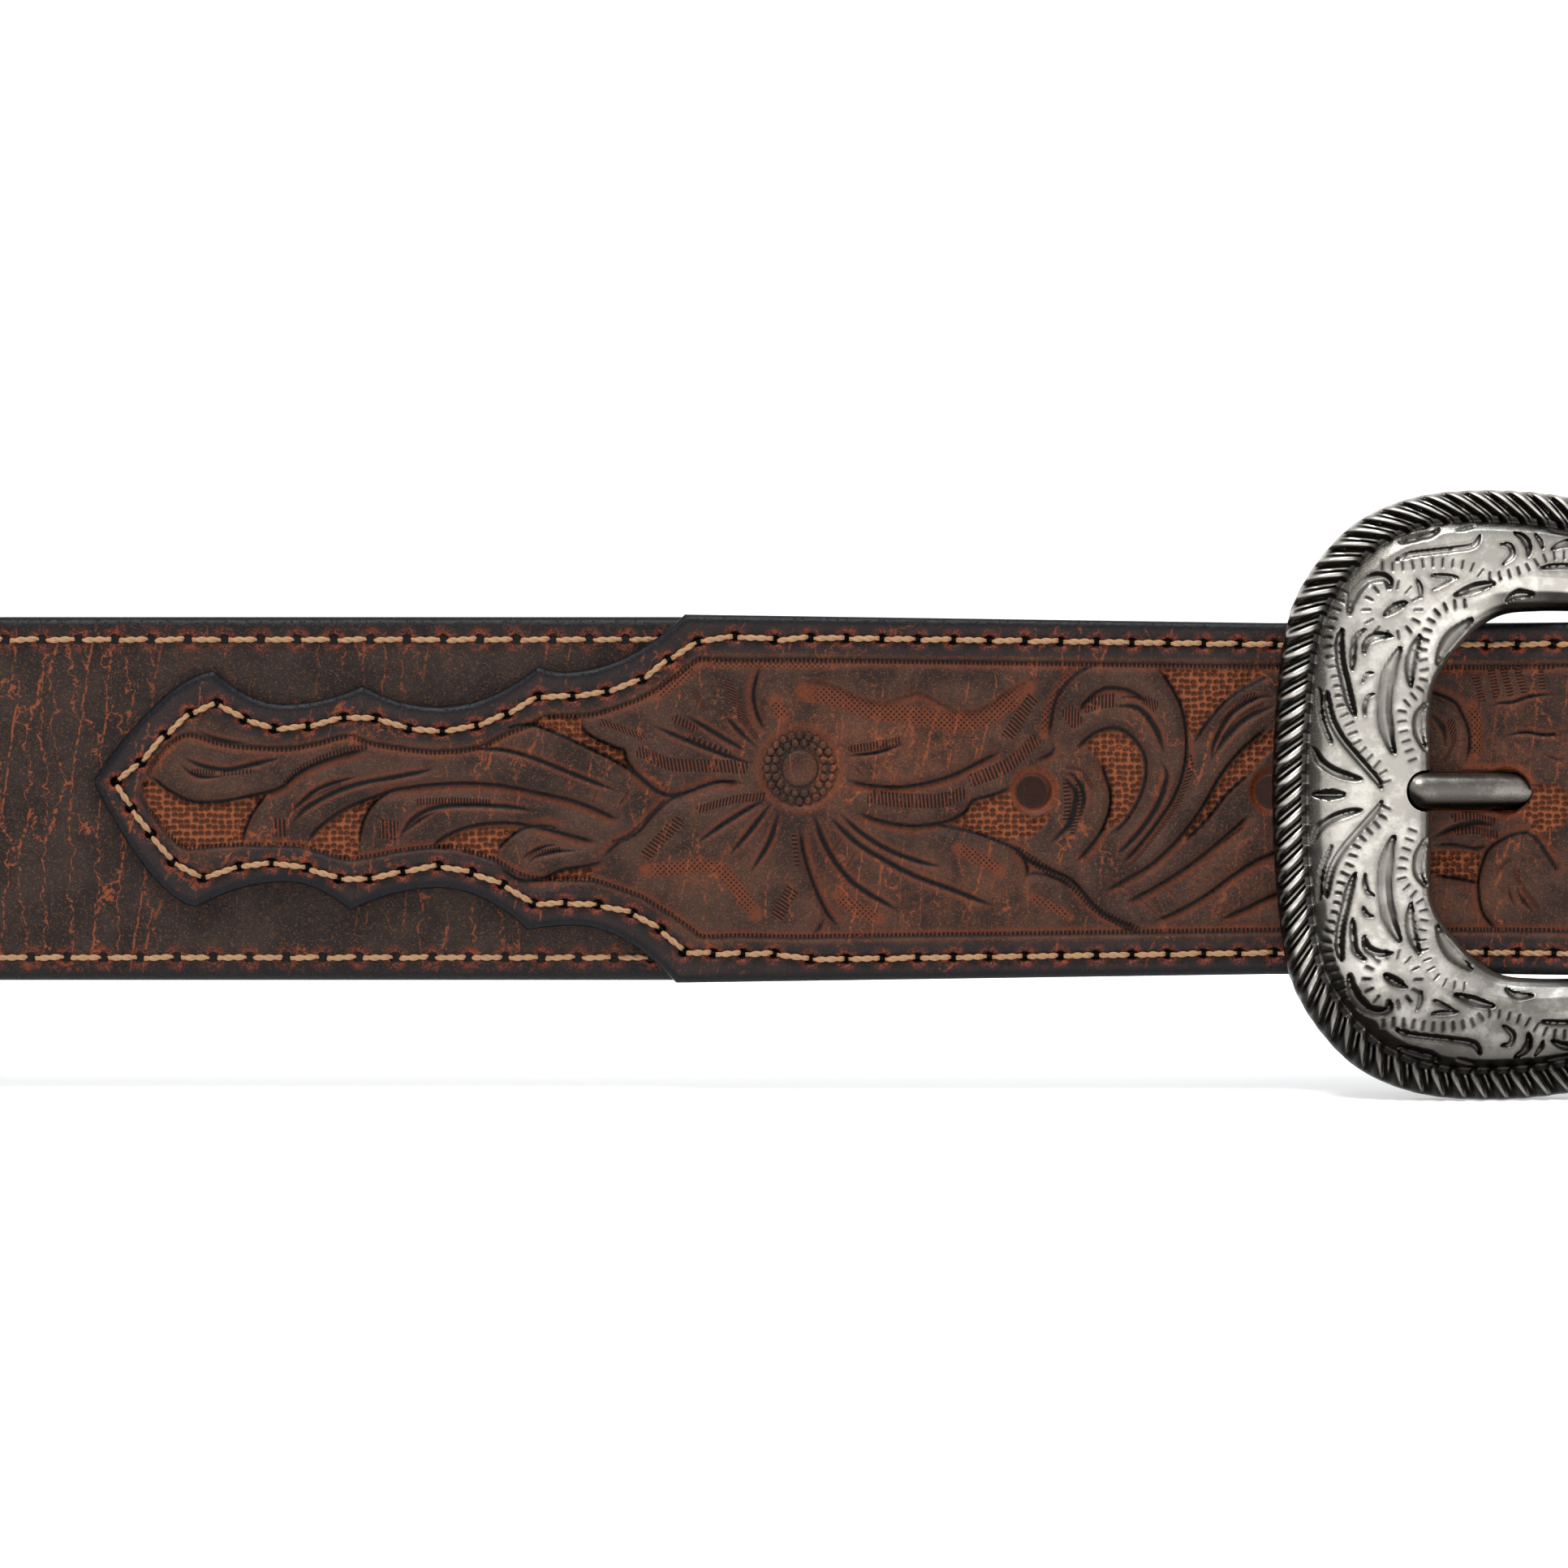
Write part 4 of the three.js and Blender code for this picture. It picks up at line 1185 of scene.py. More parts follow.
# Each line is run and height in millimetres. The ground is lowered on the right of a bevel.
BEVELS = [
    # The long leaves that sweep from the flower to the point
    [(-118.7, 2.9), (-116.5, 1.1), (-114.0, -0.1), (-111.0, -0.1), (-108.0, 0.45), (-105.0, 1.2),
     (-103.2, 2.6), (-101.0, 3.8), (-98.0, 4.8), (-95.3, 5.4)],
    [(-105.6, 0.9), (-106.6, -0.3), (-107.5, -1.6), (-108.2, -3.2), (-108.6, -5.0)],
    [(-102.3, -4.9), (-100.8, -3.0), (-98.2, -1.1), (-95.5, 0.1), (-92.5, 1.1), (-89.0, 1.6),
     (-85.0, 1.8), (-81.0, 1.5), (-77.0, 0.7), (-73.0, -0.3), (-68.4, -2.3)],
    [(-91.2, 1.3), (-92.6, 0.8), (-94.0, 0.0), (-95.0, -1.0), (-95.7, -2.3), (-96.1, -3.8), (-96.1, -5.2)],
    [(-89.2, -5.3), (-87.2, -3.8), (-84.3, -2.7), (-80.5, -2.4), (-76.8, -3.0), (-73.0, -4.0), (-70.8, -4.5)],
    [(-74.5, -3.7), (-76.0, -3.2), (-77.5, -3.1), (-79.0, -3.4), (-80.2, -4.1), (-81.3, -5.2), (-81.9, -6.4)],
    [(-81.8, -6.6), (-80.5, -7.8), (-79.0, -8.5), (-77.0, -8.3), (-75.0, -7.4), (-72.0, -6.9), (-70.2, -6.2)],
    [(-63.0, 0.4), (-64.0, 0.35), (-65.0, 0.7), (-67.0, 2.3), (-69.3, 3.8), (-73.0, 5.6), (-77.0, 7.3),
     (-78.5, 7.6), (-80.0, 7.5), (-81.5, 6.8)],
    # Petals round the flower's middle
    [(-72.4, 8.6), (-72.6, 7.6), (-71.8, 6.8), (-69.3, 5.6), (-68.3, 5.3), (-68.0, 4.5), (-67.6, 3.6),
     (-65.8, 1.7), (-63.8, 0.55), (-61.6, 0.9), (-59.8, 1.6), (-58.0, 2.0), (-55.3, 1.8)],
    [(-57.0, 1.8), (-59.0, 1.4), (-61.0, 0.7), (-63.5, -0.4), (-65.2, -1.9), (-66.9, -3.8), (-69.2, -5.1),
     (-70.9, -6.9)],
    [(-45.2, -14.1), (-46.7, -12.6), (-48.2, -9.7), (-49.4, -6.2), (-49.9, -2.9)],
    [(-48.8, -14.5), (-48.0, -13.8), (-47.5, -13.0), (-47.2, -12.2)],
    [(-44.0, -1.1), (-41.5, -2.1), (-38.0, -2.7), (-34.5, -2.3), (-32.4, -1.3), (-31.6, -0.1),
     (-30.2, 0.35), (-28.8, 0.75), (-26.9, 1.7)],
    [(-45.0, 2.2), (-42.5, 1.6), (-39.5, 1.4), (-36.5, 1.8), (-33.5, 2.7), (-30.5, 4.2), (-28.2, 5.3)],
    [(-53.5, 14.3), (-54.1, 13.0), (-54.5, 10.8), (-53.9, 8.5), (-52.9, 6.9)],
    [(-25.3, 4.1), (-24.2, 4.5), (-23.3, 4.9), (-23.0, 5.6), (-23.4, 6.2)],
    [(-26.6, -8.6), (-26.0, -8.3), (-25.8, -7.5), (-26.6, -5.8), (-29.0, -4.6), (-32.0, -3.6), (-36.0, -2.9)],
    [(-27.3, -4.9), (-25.0, -6.6), (-21.0, -8.4), (-18.7, -11.0), (-17.0, -12.3), (-13.5, -13.9)],
    [(-20.2, -10.1), (-22.0, -8.9), (-23.5, -8.3), (-25.0, -8.1), (-26.5, -8.3)],
    # The curl beyond the first hole
    [(-15.9, -6.9), (-14.0, -4.9), (-11.7, -2.0), (-10.1, 0.6), (-9.2, 3.5), (-9.0, 6.5), (-9.6, 9.8),
     (-11.2, 12.7), (-12.3, 13.8)],
    [(-18.0, 14.1), (-20.4, 13.0), (-22.4, 10.6), (-23.1, 7.5), (-23.3, 6.0)],
    [(-20.6, 8.8), (-19.5, 10.5), (-17.6, 11.8), (-15.2, 11.7), (-13.0, 10.5), (-12.3, 9.9)],
    [(-20.9, 4.9), (-19.7, 6.3), (-18.0, 7.4), (-16.0, 7.6), (-14.2, 6.4), (-13.1, 4.5), (-13.0, 2.2),
     (-13.8, -0.3), (-15.5, -2.9), (-17.5, -4.4)],
    [(-21.0, -6.7), (-19.6, -5.5), (-17.8, -3.0), (-17.0, 0.0), (-17.8, 3.0), (-18.6, 4.2)],
    # Stems that fan toward the buckle
    [(0.5, 13.0), (-3.5, 11.0), (-6.0, 8.6), (-7.8, 6.0), (-8.2, 5.3)],
    [(-17.8, -9.8), (-15.5, -8.5), (-12.5, -6.7), (-9.5, -3.8), (-7.2, -0.7), (-5.5, 2.3),
     (-3.3, 5.1), (0.0, 8.0)],
    [(-1.7, 2.8), (-4.3, 0.5), (-6.7, -2.5), (-9.3, -5.0)],
    [(-15.6, -11.0), (-12.2, -9.2), (-9.0, -7.2), (-6.0, -4.9), (-1.9, -1.3)],
    [(-12.5, -12.9), (-9.7, -11.7), (-6.9, -10.1), (-4.0, -8.0), (-1.3, -6.3), (2.0, -5.0)],
    [(-5.5, -12.7), (-2.7, -11.5), (0.5, -10.0), (4.0, -9.0)],
    # Beyond the end bar, round the prong
    [(20.4, 3.7), (20.9, 5.0), (20.9, 7.0), (20.2, 8.9), (19.0, 10.4), (15.0, 11.8)],
    [(31.5, -8.5), (30.0, -6.0), (28.8, -4.3), (27.4, -3.8), (24.5, -4.9), (23.2, -6.2), (22.3, -9.0),
     (22.9, -12.0), (25.0, -14.0)],
    [(16.8, -4.9), (19.0, -4.7), (22.0, -5.1), (24.0, -4.6)],
    [(22.3, -9.8), (21.5, -9.0), (19.5, -8.6), (17.0, -8.2)],
]

# Broad soft lips: the wavy rim of the large upper petal
SOFT_LIPS = [
    [(-50.2, 12.3), (-48.0, 12.6), (-45.8, 11.9), (-43.6, 10.8), (-41.2, 10.3), (-38.8, 10.9),
     (-37.6, 11.3), (-36.4, 11.1), (-34.8, 10.2), (-32.5, 9.3), (-30.0, 9.9), (-27.5, 11.6), (-24.3, 13.3)],
]

# Tapered cuts of the swivel knife: half width in millimetres, then the line
CUTS = [
    (0.26, [(-115.3, 3.9), (-114.7, 3.1), (-113.8, 2.5), (-112.7, 2.25), (-110.6, 2.35)]),
    (0.34, [(-114.9, 4.5), (-114.0, 3.9), (-112.8, 3.4), (-111.3, 3.1), (-109.8, 3.1),
            (-106.8, 3.8), (-104.7, 4.3)]),
    (0.26, [(-113.6, 7.3), (-112.2, 6.6), (-110.5, 6.1), (-107.9, 5.8)]),
    (0.34, [(-103.5, -2.8), (-102.2, -1.2), (-99.5, 0.4), (-96.5, 1.5), (-93.0, 2.2),
            (-89.8, 2.8), (-88.4, 3.3)]),
    (0.28, [(-103.8, -1.6), (-101.5, 0.5), (-99.8, 1.4), (-98.2, 1.9), (-96.6, 2.3)]),
    (0.32, [(-92.2, -4.3), (-90.7, -2.2), (-88.4, -1.0), (-85.0, -0.7), (-81.0, -0.85), (-77.6, -1.3)]),
    (0.24, [(-92.0, -3.9), (-90.0, -2.3), (-88.0, -1.3)]),
    (0.28, [(-79.3, -6.6), (-78.6, -5.9), (-77.6, -5.4), (-76.4, -5.0), (-75.2, -4.9)]),
    (0.28, [(-78.5, -6.9), (-77.8, -6.2), (-76.8, -5.9), (-75.5, -5.6), (-73.2, -5.5)]),
    (0.30, [(-84.5, 5.3), (-81.0, 5.1), (-78.0, 4.3), (-75.0, 3.1), (-72.0, 1.9), (-69.0, 0.8)]),
    (0.30, [(-65.4, 7.8), (-62.0, 6.3), (-58.0, 4.7), (-54.7, 3.7)]),
    (0.30, [(-62.0, 8.9), (-59.0, 7.1), (-57.5, 6.2), (-55.0, 4.8)]),
    (0.32, [(-58.0, 9.2), (-56.0, 7.0), (-54.2, 5.3)]),
    (0.34, [(-60.5, -4.6), (-57.5, -2.5), (-54.5, -0.7), (-53.2, -0.1)]),
    (0.32, [(-57.2, -6.0), (-55.0, -3.4), (-53.0, -0.8), (-52.6, -0.3)]),
    (0.32, [(-55.0, -7.9), (-53.0, -4.6), (-51.9, -1.2)]),
    (0.36, [(-48.3, -1.5), (-47.2, -4.6), (-45.6, -7.2), (-43.6, -9.3), (-39.1, -12.0)]),
    (0.36, [(-46.7, -1.8), (-43.8, -4.6), (-41.0, -6.4), (-37.5, -8.2), (-33.5, -9.7), (-29.2, -11.4)]),
    (0.34, [(-45.6, -1.5), (-43.0, -3.8), (-40.0, -5.6), (-36.3, -6.9), (-34.6, -7.1)]),
    (0.26, [(-44.9, 4.5), (-42.0, 4.8), (-40.5, 5.2), (-38.5, 5.9)]),
    (0.22, [(-44.1, 3.8), (-43.5, 2.9), (-42.9, 2.1)]),
    (0.22, [(-16.2, 10.5), (-15.2, 10.8), (-14.2, 10.7), (-13.3, 10.2)]),
    (0.40, [(-16.5, 9.8), (-14.0, 9.6), (-12.2, 7.6), (-11.3, 5.2), (-11.2, 4.7)]),
    (0.36, [(-11.5, 3.9), (-10.9, 2.5), (-11.7, -0.3), (-13.4, -3.0), (-15.5, -5.3), (-16.5, -5.7)]),
    (0.42, [(-22.0, 2.4), (-20.7, 1.0), (-20.5, 0.0), (-21.2, -2.6), (-22.8, -4.3), (-23.3, -4.7)]),
    (0.30, [(-21.8, 2.7), (-20.7, 2.4), (-19.7, 0.2), (-20.3, -2.3)]),
    (0.28, [(0.5, 10.9), (-1.5, 10.6), (-4.2, 8.8), (-5.9, 5.8), (-6.2, 3.9)]),
    (0.38, [(0.5, 9.9), (-2.6, 8.4), (-4.8, 6.3), (-6.1, 4.2)]),
    (0.36, [(16.5, 9.2), (17.5, 8.5), (18.2, 7.6), (18.5, 6.6), (18.5, 5.4)]),
    (0.24, [(23.7, 9.7), (25.0, 10.1), (26.5, 10.2), (28.5, 10.8), (31.0, 11.0)]),
    (0.24, [(25.5, 6.6), (28.0, 7.0), (30.0, 6.7), (33.5, 7.1)]),
    (0.24, [(29.8, 4.7), (31.0, 4.2), (33.0, 3.6)]),
    (0.36, [(17.0, -4.2), (19.5, -3.0), (22.0, -2.5), (24.3, -2.9)]),
    (0.26, [(26.1, -9.0), (26.2, -10.2), (26.9, -11.6)]),
    (0.26, [(27.0, -9.0), (27.4, -10.4), (29.0, -12.3)]),
]

# Fine lines that cross the leaves' roots
LADDERS = [
    [(-75.2, 4.8), (-76.0, 4.0)], [(-73.3, 2.8), (-74.5, 0.5)], [(-70.9, 1.7), (-71.8, -0.9)],
    [(-67.6, 0.9), (-68.4, 0.0), (-69.2, -1.5)], [(-55.7, -5.0), (-54.3, -6.0)],
    [(-54.3, -3.3), (-53.4, -3.9)], [(-53.3, -1.5), (-52.6, -1.9)], [(-57.5, -2.6), (-56.4, -3.3)],
    [(-45.2, -4.0), (-46.4, -5.7)], [(-43.6, -5.3), (-44.9, -7.3)], [(-46.1, -2.7), (-47.2, -3.2)],
    [(-9.2, -8.0), (-6.8, -9.2)], [(-11.6, -9.0), (-9.6, -10.8)], [(-14.5, -9.9), (-11.7, -12.5)],
    [(-6.2, -9.9), (-4.9, -11.3)], [(-17.6, -8.3), (-15.8, -9.2), (-14.2, -9.9)],
    [(-59.3, 7.4), (-58.6, 6.5)], [(-57.6, 5.9), (-58.0, 5.1)], [(-61.5, 5.2), (-61.2, 4.5)],
]

# Rows of ticks: length of a tick, its slant in degrees, the step, then the line
TICKS = [
    (0.55, 92, 0.30, [(-114.3, 2.9), (-111.6, 2.7)]),
    (0.50, 92, 0.40, [(-111.0, 2.6), (-107.4, 2.9)]),
    (1.90, 92, 0.45, [(-105.6, -3.0), (-104.0, -3.2)]),
    (0.40, 60, 0.30, [(-102.8, -0.9), (-101.5, 0.1), (-98.2, 1.6)]),
    (2.10, 92, 0.40, [(-94.2, -3.2), (-92.2, -3.4)]),
    (0.70, 90, 0.33, [(-90.5, -0.4), (-86.5, -0.25), (-82.5, -0.45)]),
    (0.35, 80, 0.30, [(-78.6, -6.3), (-77.6, -5.7), (-75.0, -5.25)]),
    (0.60, 100, 0.38, [(-104.2, 1.7), (-102.5, 3.2), (-100.5, 4.2), (-98.0, 5.0), (-95.5, 5.5)]),
    (0.70, 45, 0.40, [(-69.7, -4.6), (-68.0, -3.9), (-66.5, -2.6), (-64.0, -0.1)]),
    (0.80, 75, 0.42, [(-63.2, 8.6), (-60.6, 7.2)]),
    (0.50, 70, 0.60, [(-61.5, 6.5), (-57.0, 4.8)]),
    (1.10, -27, 0.36, [(-61.0, 11.6), (-59.7, 9.2)]),
    (1.10, -25, 0.40, [(-57.5, 12.6), (-56.6, 10.4), (-55.4, 8.0), (-54.2, 6.2)]),
    (0.85, 115, 0.42, [(-70.9, 8.1), (-69.5, 7.7), (-66.2, 6.4)]),
    (1.40, 100, 0.40, [(-67.0, 5.1), (-64.0, 3.8), (-62.0, 3.5), (-57.5, 3.4), (-55.2, 3.2)]),
    (0.90, 80, 0.36, [(-60.6, -1.2), (-56.5, -0.1), (-53.3, 0.2)]),
    (1.30, -33, 0.42, [(-66.2, -6.2), (-63.6, -3.4), (-62.3, -2.2)]),
    (1.40, -33, 0.40, [(-52.3, -12.8), (-51.5, -11.2), (-50.4, -9.4)]),
    (0.50, 0, 0.45, [(-50.4, -3.5), (-50.0, -7.2)]),
    (1.50, 95, 0.40, [(-42.6, 0.3), (-39.0, -0.2), (-34.8, -0.2), (-32.2, 0.7)]),
    (0.80, 95, 0.34, [(-44.6, 5.2), (-42.5, 5.5), (-38.9, 6.2)]),
    (1.40, 112, 0.42, [(-31.8, 1.8), (-28.5, 3.1), (-27.0, 4.1), (-24.6, 6.4)]),
    (1.30, 138, 0.42, [(-27.9, 6.4), (-26.2, 9.0), (-24.9, 10.9)]),
    (1.50, 88, 0.38, [(-19.8, 9.4), (-18.6, 10.1), (-16.3, 10.4)]),
    (3.00, 88, 0.42, [(-21.6, 8.2), (-20.3, 9.2)]),
    (1.40, 100, 0.38, [(-13.4, 10.6), (-11.9, 9.6)]),
    (0.70, 5, 0.42, [(-21.6, 2.0), (-21.4, -1.0), (-21.7, -2.4)]),
    (0.85, 8, 0.42, [(-20.2, 1.9), (-20.0, -0.8), (-21.2, -3.6)]),
    (0.90, -30, 0.40, [(-21.6, 3.3), (-20.0, 3.0), (-18.7, 1.0)]),
    (0.60, 20, 0.40, [(-22.6, -4.8), (-20.7, -3.6)]),
    (0.70, 22, 0.42, [(-8.7, 4.8), (-8.5, 2.8), (-9.9, -0.7), (-12.9, -4.9), (-15.0, -7.2)]),
    (0.80, 60, 0.42, [(-27.0, -5.3), (-23.0, -7.9), (-21.2, -8.9), (-17.9, -12.0), (-13.8, -14.0)]),
    (0.90, 72, 0.40, [(-5.4, 7.9), (-3.0, 10.3), (-1.4, 11.0)]),
    (0.50, 60, 0.40, [(-5.2, 6.4), (-3.2, 8.7), (-0.6, 10.1)]),
    (0.50, 50, 0.40, [(-5.0, -4.7), (-2.8, -3.0)]),
    (0.90, 10, 0.36, [(21.7, 13.1), (22.7, 10.2)]),
    (0.80, 8, 0.36, [(23.8, 13.9), (24.7, 10.7)]),
    (0.75, 8, 0.36, [(25.3, 14.0), (26.4, 10.8)]),
    (0.70, 5, 0.36, [(27.0, 14.0), (27.9, 11.0)]),
    (0.60, 5, 0.36, [(29.4, 13.7), (29.8, 11.5)]),
    (1.10, 60, 0.40, [(18.4, 3.9), (19.4, 6.0), (19.0, 8.4)]),
    (0.90, 92, 0.40, [(19.2, -2.1), (21.0, -1.8), (24.4, -2.5)]),
    (0.80, 92, 0.40, [(19.5, -3.5), (21.5, -3.3), (24.8, -3.9)]),
    (1.30, -48, 0.42, [(26.9, -7.3), (27.3, -8.8), (29.4, -11.6)]),
    (1.30, 50, 0.40, [(24.7, -8.0), (25.4, -7.0), (26.4, -6.4)]),
]
# Matted pockets of background
POCKETS = [
    [(-119.6, 1.9), (-118.6, 2.2), (-117.3, 1.4), (-115.5, 0.2), (-114.0, -0.3), (-112.0, -0.4),
     (-110.0, -0.1), (-108.0, 0.3), (-106.0, 0.6), (-106.6, -0.3), (-107.5, -1.6), (-108.2, -3.2),
     (-108.6, -5.1), (-112.0, -5.3), (-114.5, -5.6), (-115.7, -5.0), (-117.3, -3.2), (-118.8, -1.2)],
    [(-101.6, -5.2), (-100.4, -3.0), (-98.2, -1.4), (-95.8, -0.2), (-92.8, 0.9), (-91.2, 1.2),
     (-92.6, 0.8), (-94.0, 0.0), (-95.0, -1.0), (-95.7, -2.3), (-96.1, -3.8), (-96.3, -6.3),
     (-97.7, -6.7), (-99.5, -6.2)],
    [(-88.8, -5.3), (-86.3, -3.7), (-84.5, -3.1), (-82.5, -2.9), (-79.0, -3.0), (-80.2, -4.1),
     (-81.3, -5.2), (-82.0, -6.6), (-83.5, -6.3), (-85.5, -5.8)],
    [(-77.4, -8.7), (-76.2, -8.1), (-75.0, -7.6), (-72.0, -7.1), (-71.2, -7.2),
     (-72.0, -8.9), (-74.5, -8.85)],
    [(-80.0, 7.8), (-78.0, 8.3), (-76.0, 8.9), (-73.0, 8.9), (-72.6, 7.6), (-71.8, 6.8), (-69.3, 5.6),
     (-68.3, 5.3), (-68.0, 4.5), (-67.6, 3.6), (-66.6, 2.2), (-68.5, 3.3), (-71.5, 4.8), (-75.0, 6.7),
     (-78.0, 7.6)],
    [(-34.2, -2.6), (-33.0, -2.1), (-31.7, -0.4), (-30.5, 0.1), (-28.8, 0.5), (-27.0, 1.2), (-27.0, -0.8),
     (-25.0, -2.0), (-23.0, -1.2), (-23.4, -2.6), (-25.0, -4.1), (-27.8, -4.8), (-31.5, -3.7)],
    [(-19.7, 5.8), (-18.0, 7.1), (-16.0, 7.2), (-14.8, 6.6), (-13.9, 5.6), (-13.2, 3.2), (-13.8, 0.3),
     (-15.3, -2.3), (-18.2, -4.1), (-17.2, -1.6), (-17.0, 1.5), (-18.0, 3.9), (-19.3, 5.2)],
    [(-12.2, 13.9), (-1.0, 13.8), (-0.3, 13.2), (-3.8, 11.0), (-6.4, 8.4), (-8.0, 6.2), (-8.6, 6.6),
     (-8.9, 8.4), (-9.9, 11.0), (-11.4, 13.1)],
    [(0.5, 7.6), (-1.8, 6.1), (-4.0, 3.8), (-6.0, 0.8), (-7.8, -2.2), (-9.8, -4.6), (-9.2, -4.9),
     (-6.9, -3.0), (-4.7, 0.0), (-1.7, 2.8), (0.5, 5.2)],
    [(27.4, -1.2), (28.4, 1.6), (31.4, 1.5), (33.0, -1.0), (31.4, -3.4), (28.8, -3.8)],
    [(16.5, -5.6), (19.0, -5.3), (22.6, -5.7), (22.2, -8.0), (22.3, -9.4), (19.5, -8.5), (16.5, -8.0)],
]

# Bands of fine stippling: half width, then the line
STIPPLES = [
    (1.0, [(-49.2, 11.4), (-45.5, 10.6), (-43.5, 9.7), (-41.5, 9.2), (-37.5, 8.8), (-33.5, 8.1),
           (-30.0, 8.6), (-27.2, 10.6), (-25.8, 11.7)]),
    (0.75, [(-66.0, -7.6), (-63.0, -7.4), (-60.5, -6.9), (-58.5, -7.4), (-57.0, -8.7), (-54.4, -12.3)]),
    (0.8, [(-45.5, -10.2), (-44.5, -11.2), (-41.5, -12.6)]),
    (0.7, [(-33.0, -5.3), (-29.8, -6.8), (-28.7, -7.6)]),
    (0.45, [(-25.3, -10.4), (-22.0, -12.0), (-21.2, -12.6)]),
    (0.7, [(-52.3, 10.3), (-51.5, 8.5)]),
    (0.8, [(-65.0, 11.0), (-63.0, 12.5), (-61.0, 14.0)]),
    (0.45, [(-60.0, 14.3), (-53.0, 14.2), (-46.0, 14.1)]),
    (0.7, [(21.4, 9.8), (21.9, 7.5), (21.7, 4.5)]),
    (0.5, [(-23.9, 6.8), (-23.6, 8.6), (-22.0, 11.9), (-20.9, 13.2)]),
]

# Broad patches where the finish has worn to rust: run, height, reach along and across, strength
RUST_PATCHES = [
    (-40, 5, 11, 5, 0.75), (-46.5, 4, 3, 6, 0.8), (-60, -8, 6, 2, 0.5), (-32, -10, 10, 4, 0.5),
    (-44, -10, 6, 4, 0.45), (-52, 8, 3, 4, 0.4), (-110, -3, 4, 3, 0.3), (-17, 4, 5, 5, 0.4),
    (-4, -9, 5, 5, 0.45), (24, 3, 6, 8, 0.5), (22, -10, 6, 5, 0.45),
]

# The line that frames the tooling, above and below, as far as the straight part
UPPER_BORDER = [
    (-118.9, 2.2), (-118.6, 3.6), (-117.3, 5.3), (-116.0, 6.5), (-114.3, 7.1), (-111.5, 6.3),
    (-109.5, 5.9), (-107.0, 5.7), (-104.0, 5.6), (-101.0, 6.1), (-98.5, 6.8), (-97.0, 6.9),
    (-95.5, 6.3), (-93.0, 5.8), (-89.0, 5.3), (-87.3, 5.3), (-85.0, 5.5), (-83.0, 6.0), (-81.0, 7.1),
    (-78.0, 8.3), (-77.0, 8.9), (-75.5, 9.1), (-73.0, 9.1), (-71.0, 9.4), (-67.5, 10.6), (-65.5, 11.6),
    (-64.0, 12.6), (-62.3, 13.8), (-61.0, 14.8), (-60.0, 15.1), (-56.0, 15.0),
]
LOWER_BORDER = [
    (-118.9, 2.2), (-119.6, 1.2), (-119.3, -0.6), (-117.9, -2.6), (-116.5, -4.3), (-115.0, -5.5),
    (-113.5, -5.6), (-110.0, -5.3), (-107.0, -5.3), (-103.0, -5.4), (-101.0, -5.9), (-99.0, -6.5),
    (-97.5, -6.8), (-95.0, -6.5), (-92.0, -5.9), (-88.0, -5.5), (-85.5, -5.7), (-84.0, -6.2),
    (-82.0, -6.9), (-80.0, -8.1), (-78.0, -8.8), (-76.0, -8.9), (-73.0, -8.9), (-71.0, -9.2),
    (-67.0, -10.6), (-65.0, -11.7), (-63.0, -13.0), (-61.0, -14.4), (-60.0, -15.0), (-56.0, -14.9),
]


def border_lines():
    """Both border lines, each with the tooled ground on its right."""
    runs = np.linspace(-50, TIP_RUN - 11, 60)
    inset = width_at(runs) / 2 + OVERLAY_PROUD - BORDER_INSET
    upper = np.vstack([UPPER_BORDER, np.column_stack([runs, inset])])
    lower = np.vstack([LOWER_BORDER, np.column_stack([runs, -inset])])[::-1]
    return [upper, lower]


def taper(share, length, fade):
    """Goes from 0 at both ends of a line to 1 within the fade's length."""
    return np.clip(np.minimum(share, 1 - share) * length / fade, 0, 1)


def lengths_along(line):
    return np.concatenate([[0], np.cumsum(np.hypot(*np.diff(line, axis=0).T))])


def line_length(line):
    return np.hypot(*np.diff(line, axis=0).T).sum()


def bevel(field, points, depth=BEVEL_DEPTH, reach=BEVEL_REACH, fade=1.6, dark=1.0):
    """A steep edge that drops on the line's right and rises again further out."""
    line = curve_through(points)
    chosen, distance, share = field.near(line, reach + 0.4)
    ends = taper(share, line_length(line), fade)
    drop = smooth(-distance / 0.22 + 0.35) * (1 - smooth((-distance - 0.3) / (reach - 0.3)))
    shoulder = np.exp(-((distance - 0.1) / 0.4) ** 2) * 0.16
    field.sink(chosen, depth * ends * np.maximum(drop, shoulder))
    foot = np.exp(-((distance + 0.18) / 0.2) ** 2)
    shade = 0.42 * np.exp(-((distance + 0.1) / 0.75) ** 2)
    field.mark("groove", chosen, dark * ends * np.maximum(foot, shade))
    worn = np.exp(-((distance + 0.65) / 0.4) ** 2) * 0.75 + np.exp(-((distance - 0.15) / 0.15) ** 2) * 0.35
    field.mark("rust", chosen, ends * worn)
    field.height[chosen] += 0.1 * ends * np.exp(-((distance - 1.0) / 0.7) ** 2)


def cut(field, half_width, points, depth=CUT_DEPTH, dark=1.0):
    """A tapered V groove."""
    line = curve_through(points)
    chosen, distance, share = field.near(line, half_width * 3 + 0.5)
    ends = taper(share, line_length(line), 2.4) ** 0.7
    width = half_width * (0.35 + 0.65 * ends)
    field.sink(chosen, depth * ends * np.exp(-(distance / width) ** 2))
    field.mark("groove", chosen, dark * np.sqrt(ends) * np.exp(-(distance / (width * 0.8)) ** 2))
    field.mark("rust", chosen, 0.6 * ends * np.exp(-((np.abs(distance) - width - 0.15) / 0.22) ** 2))


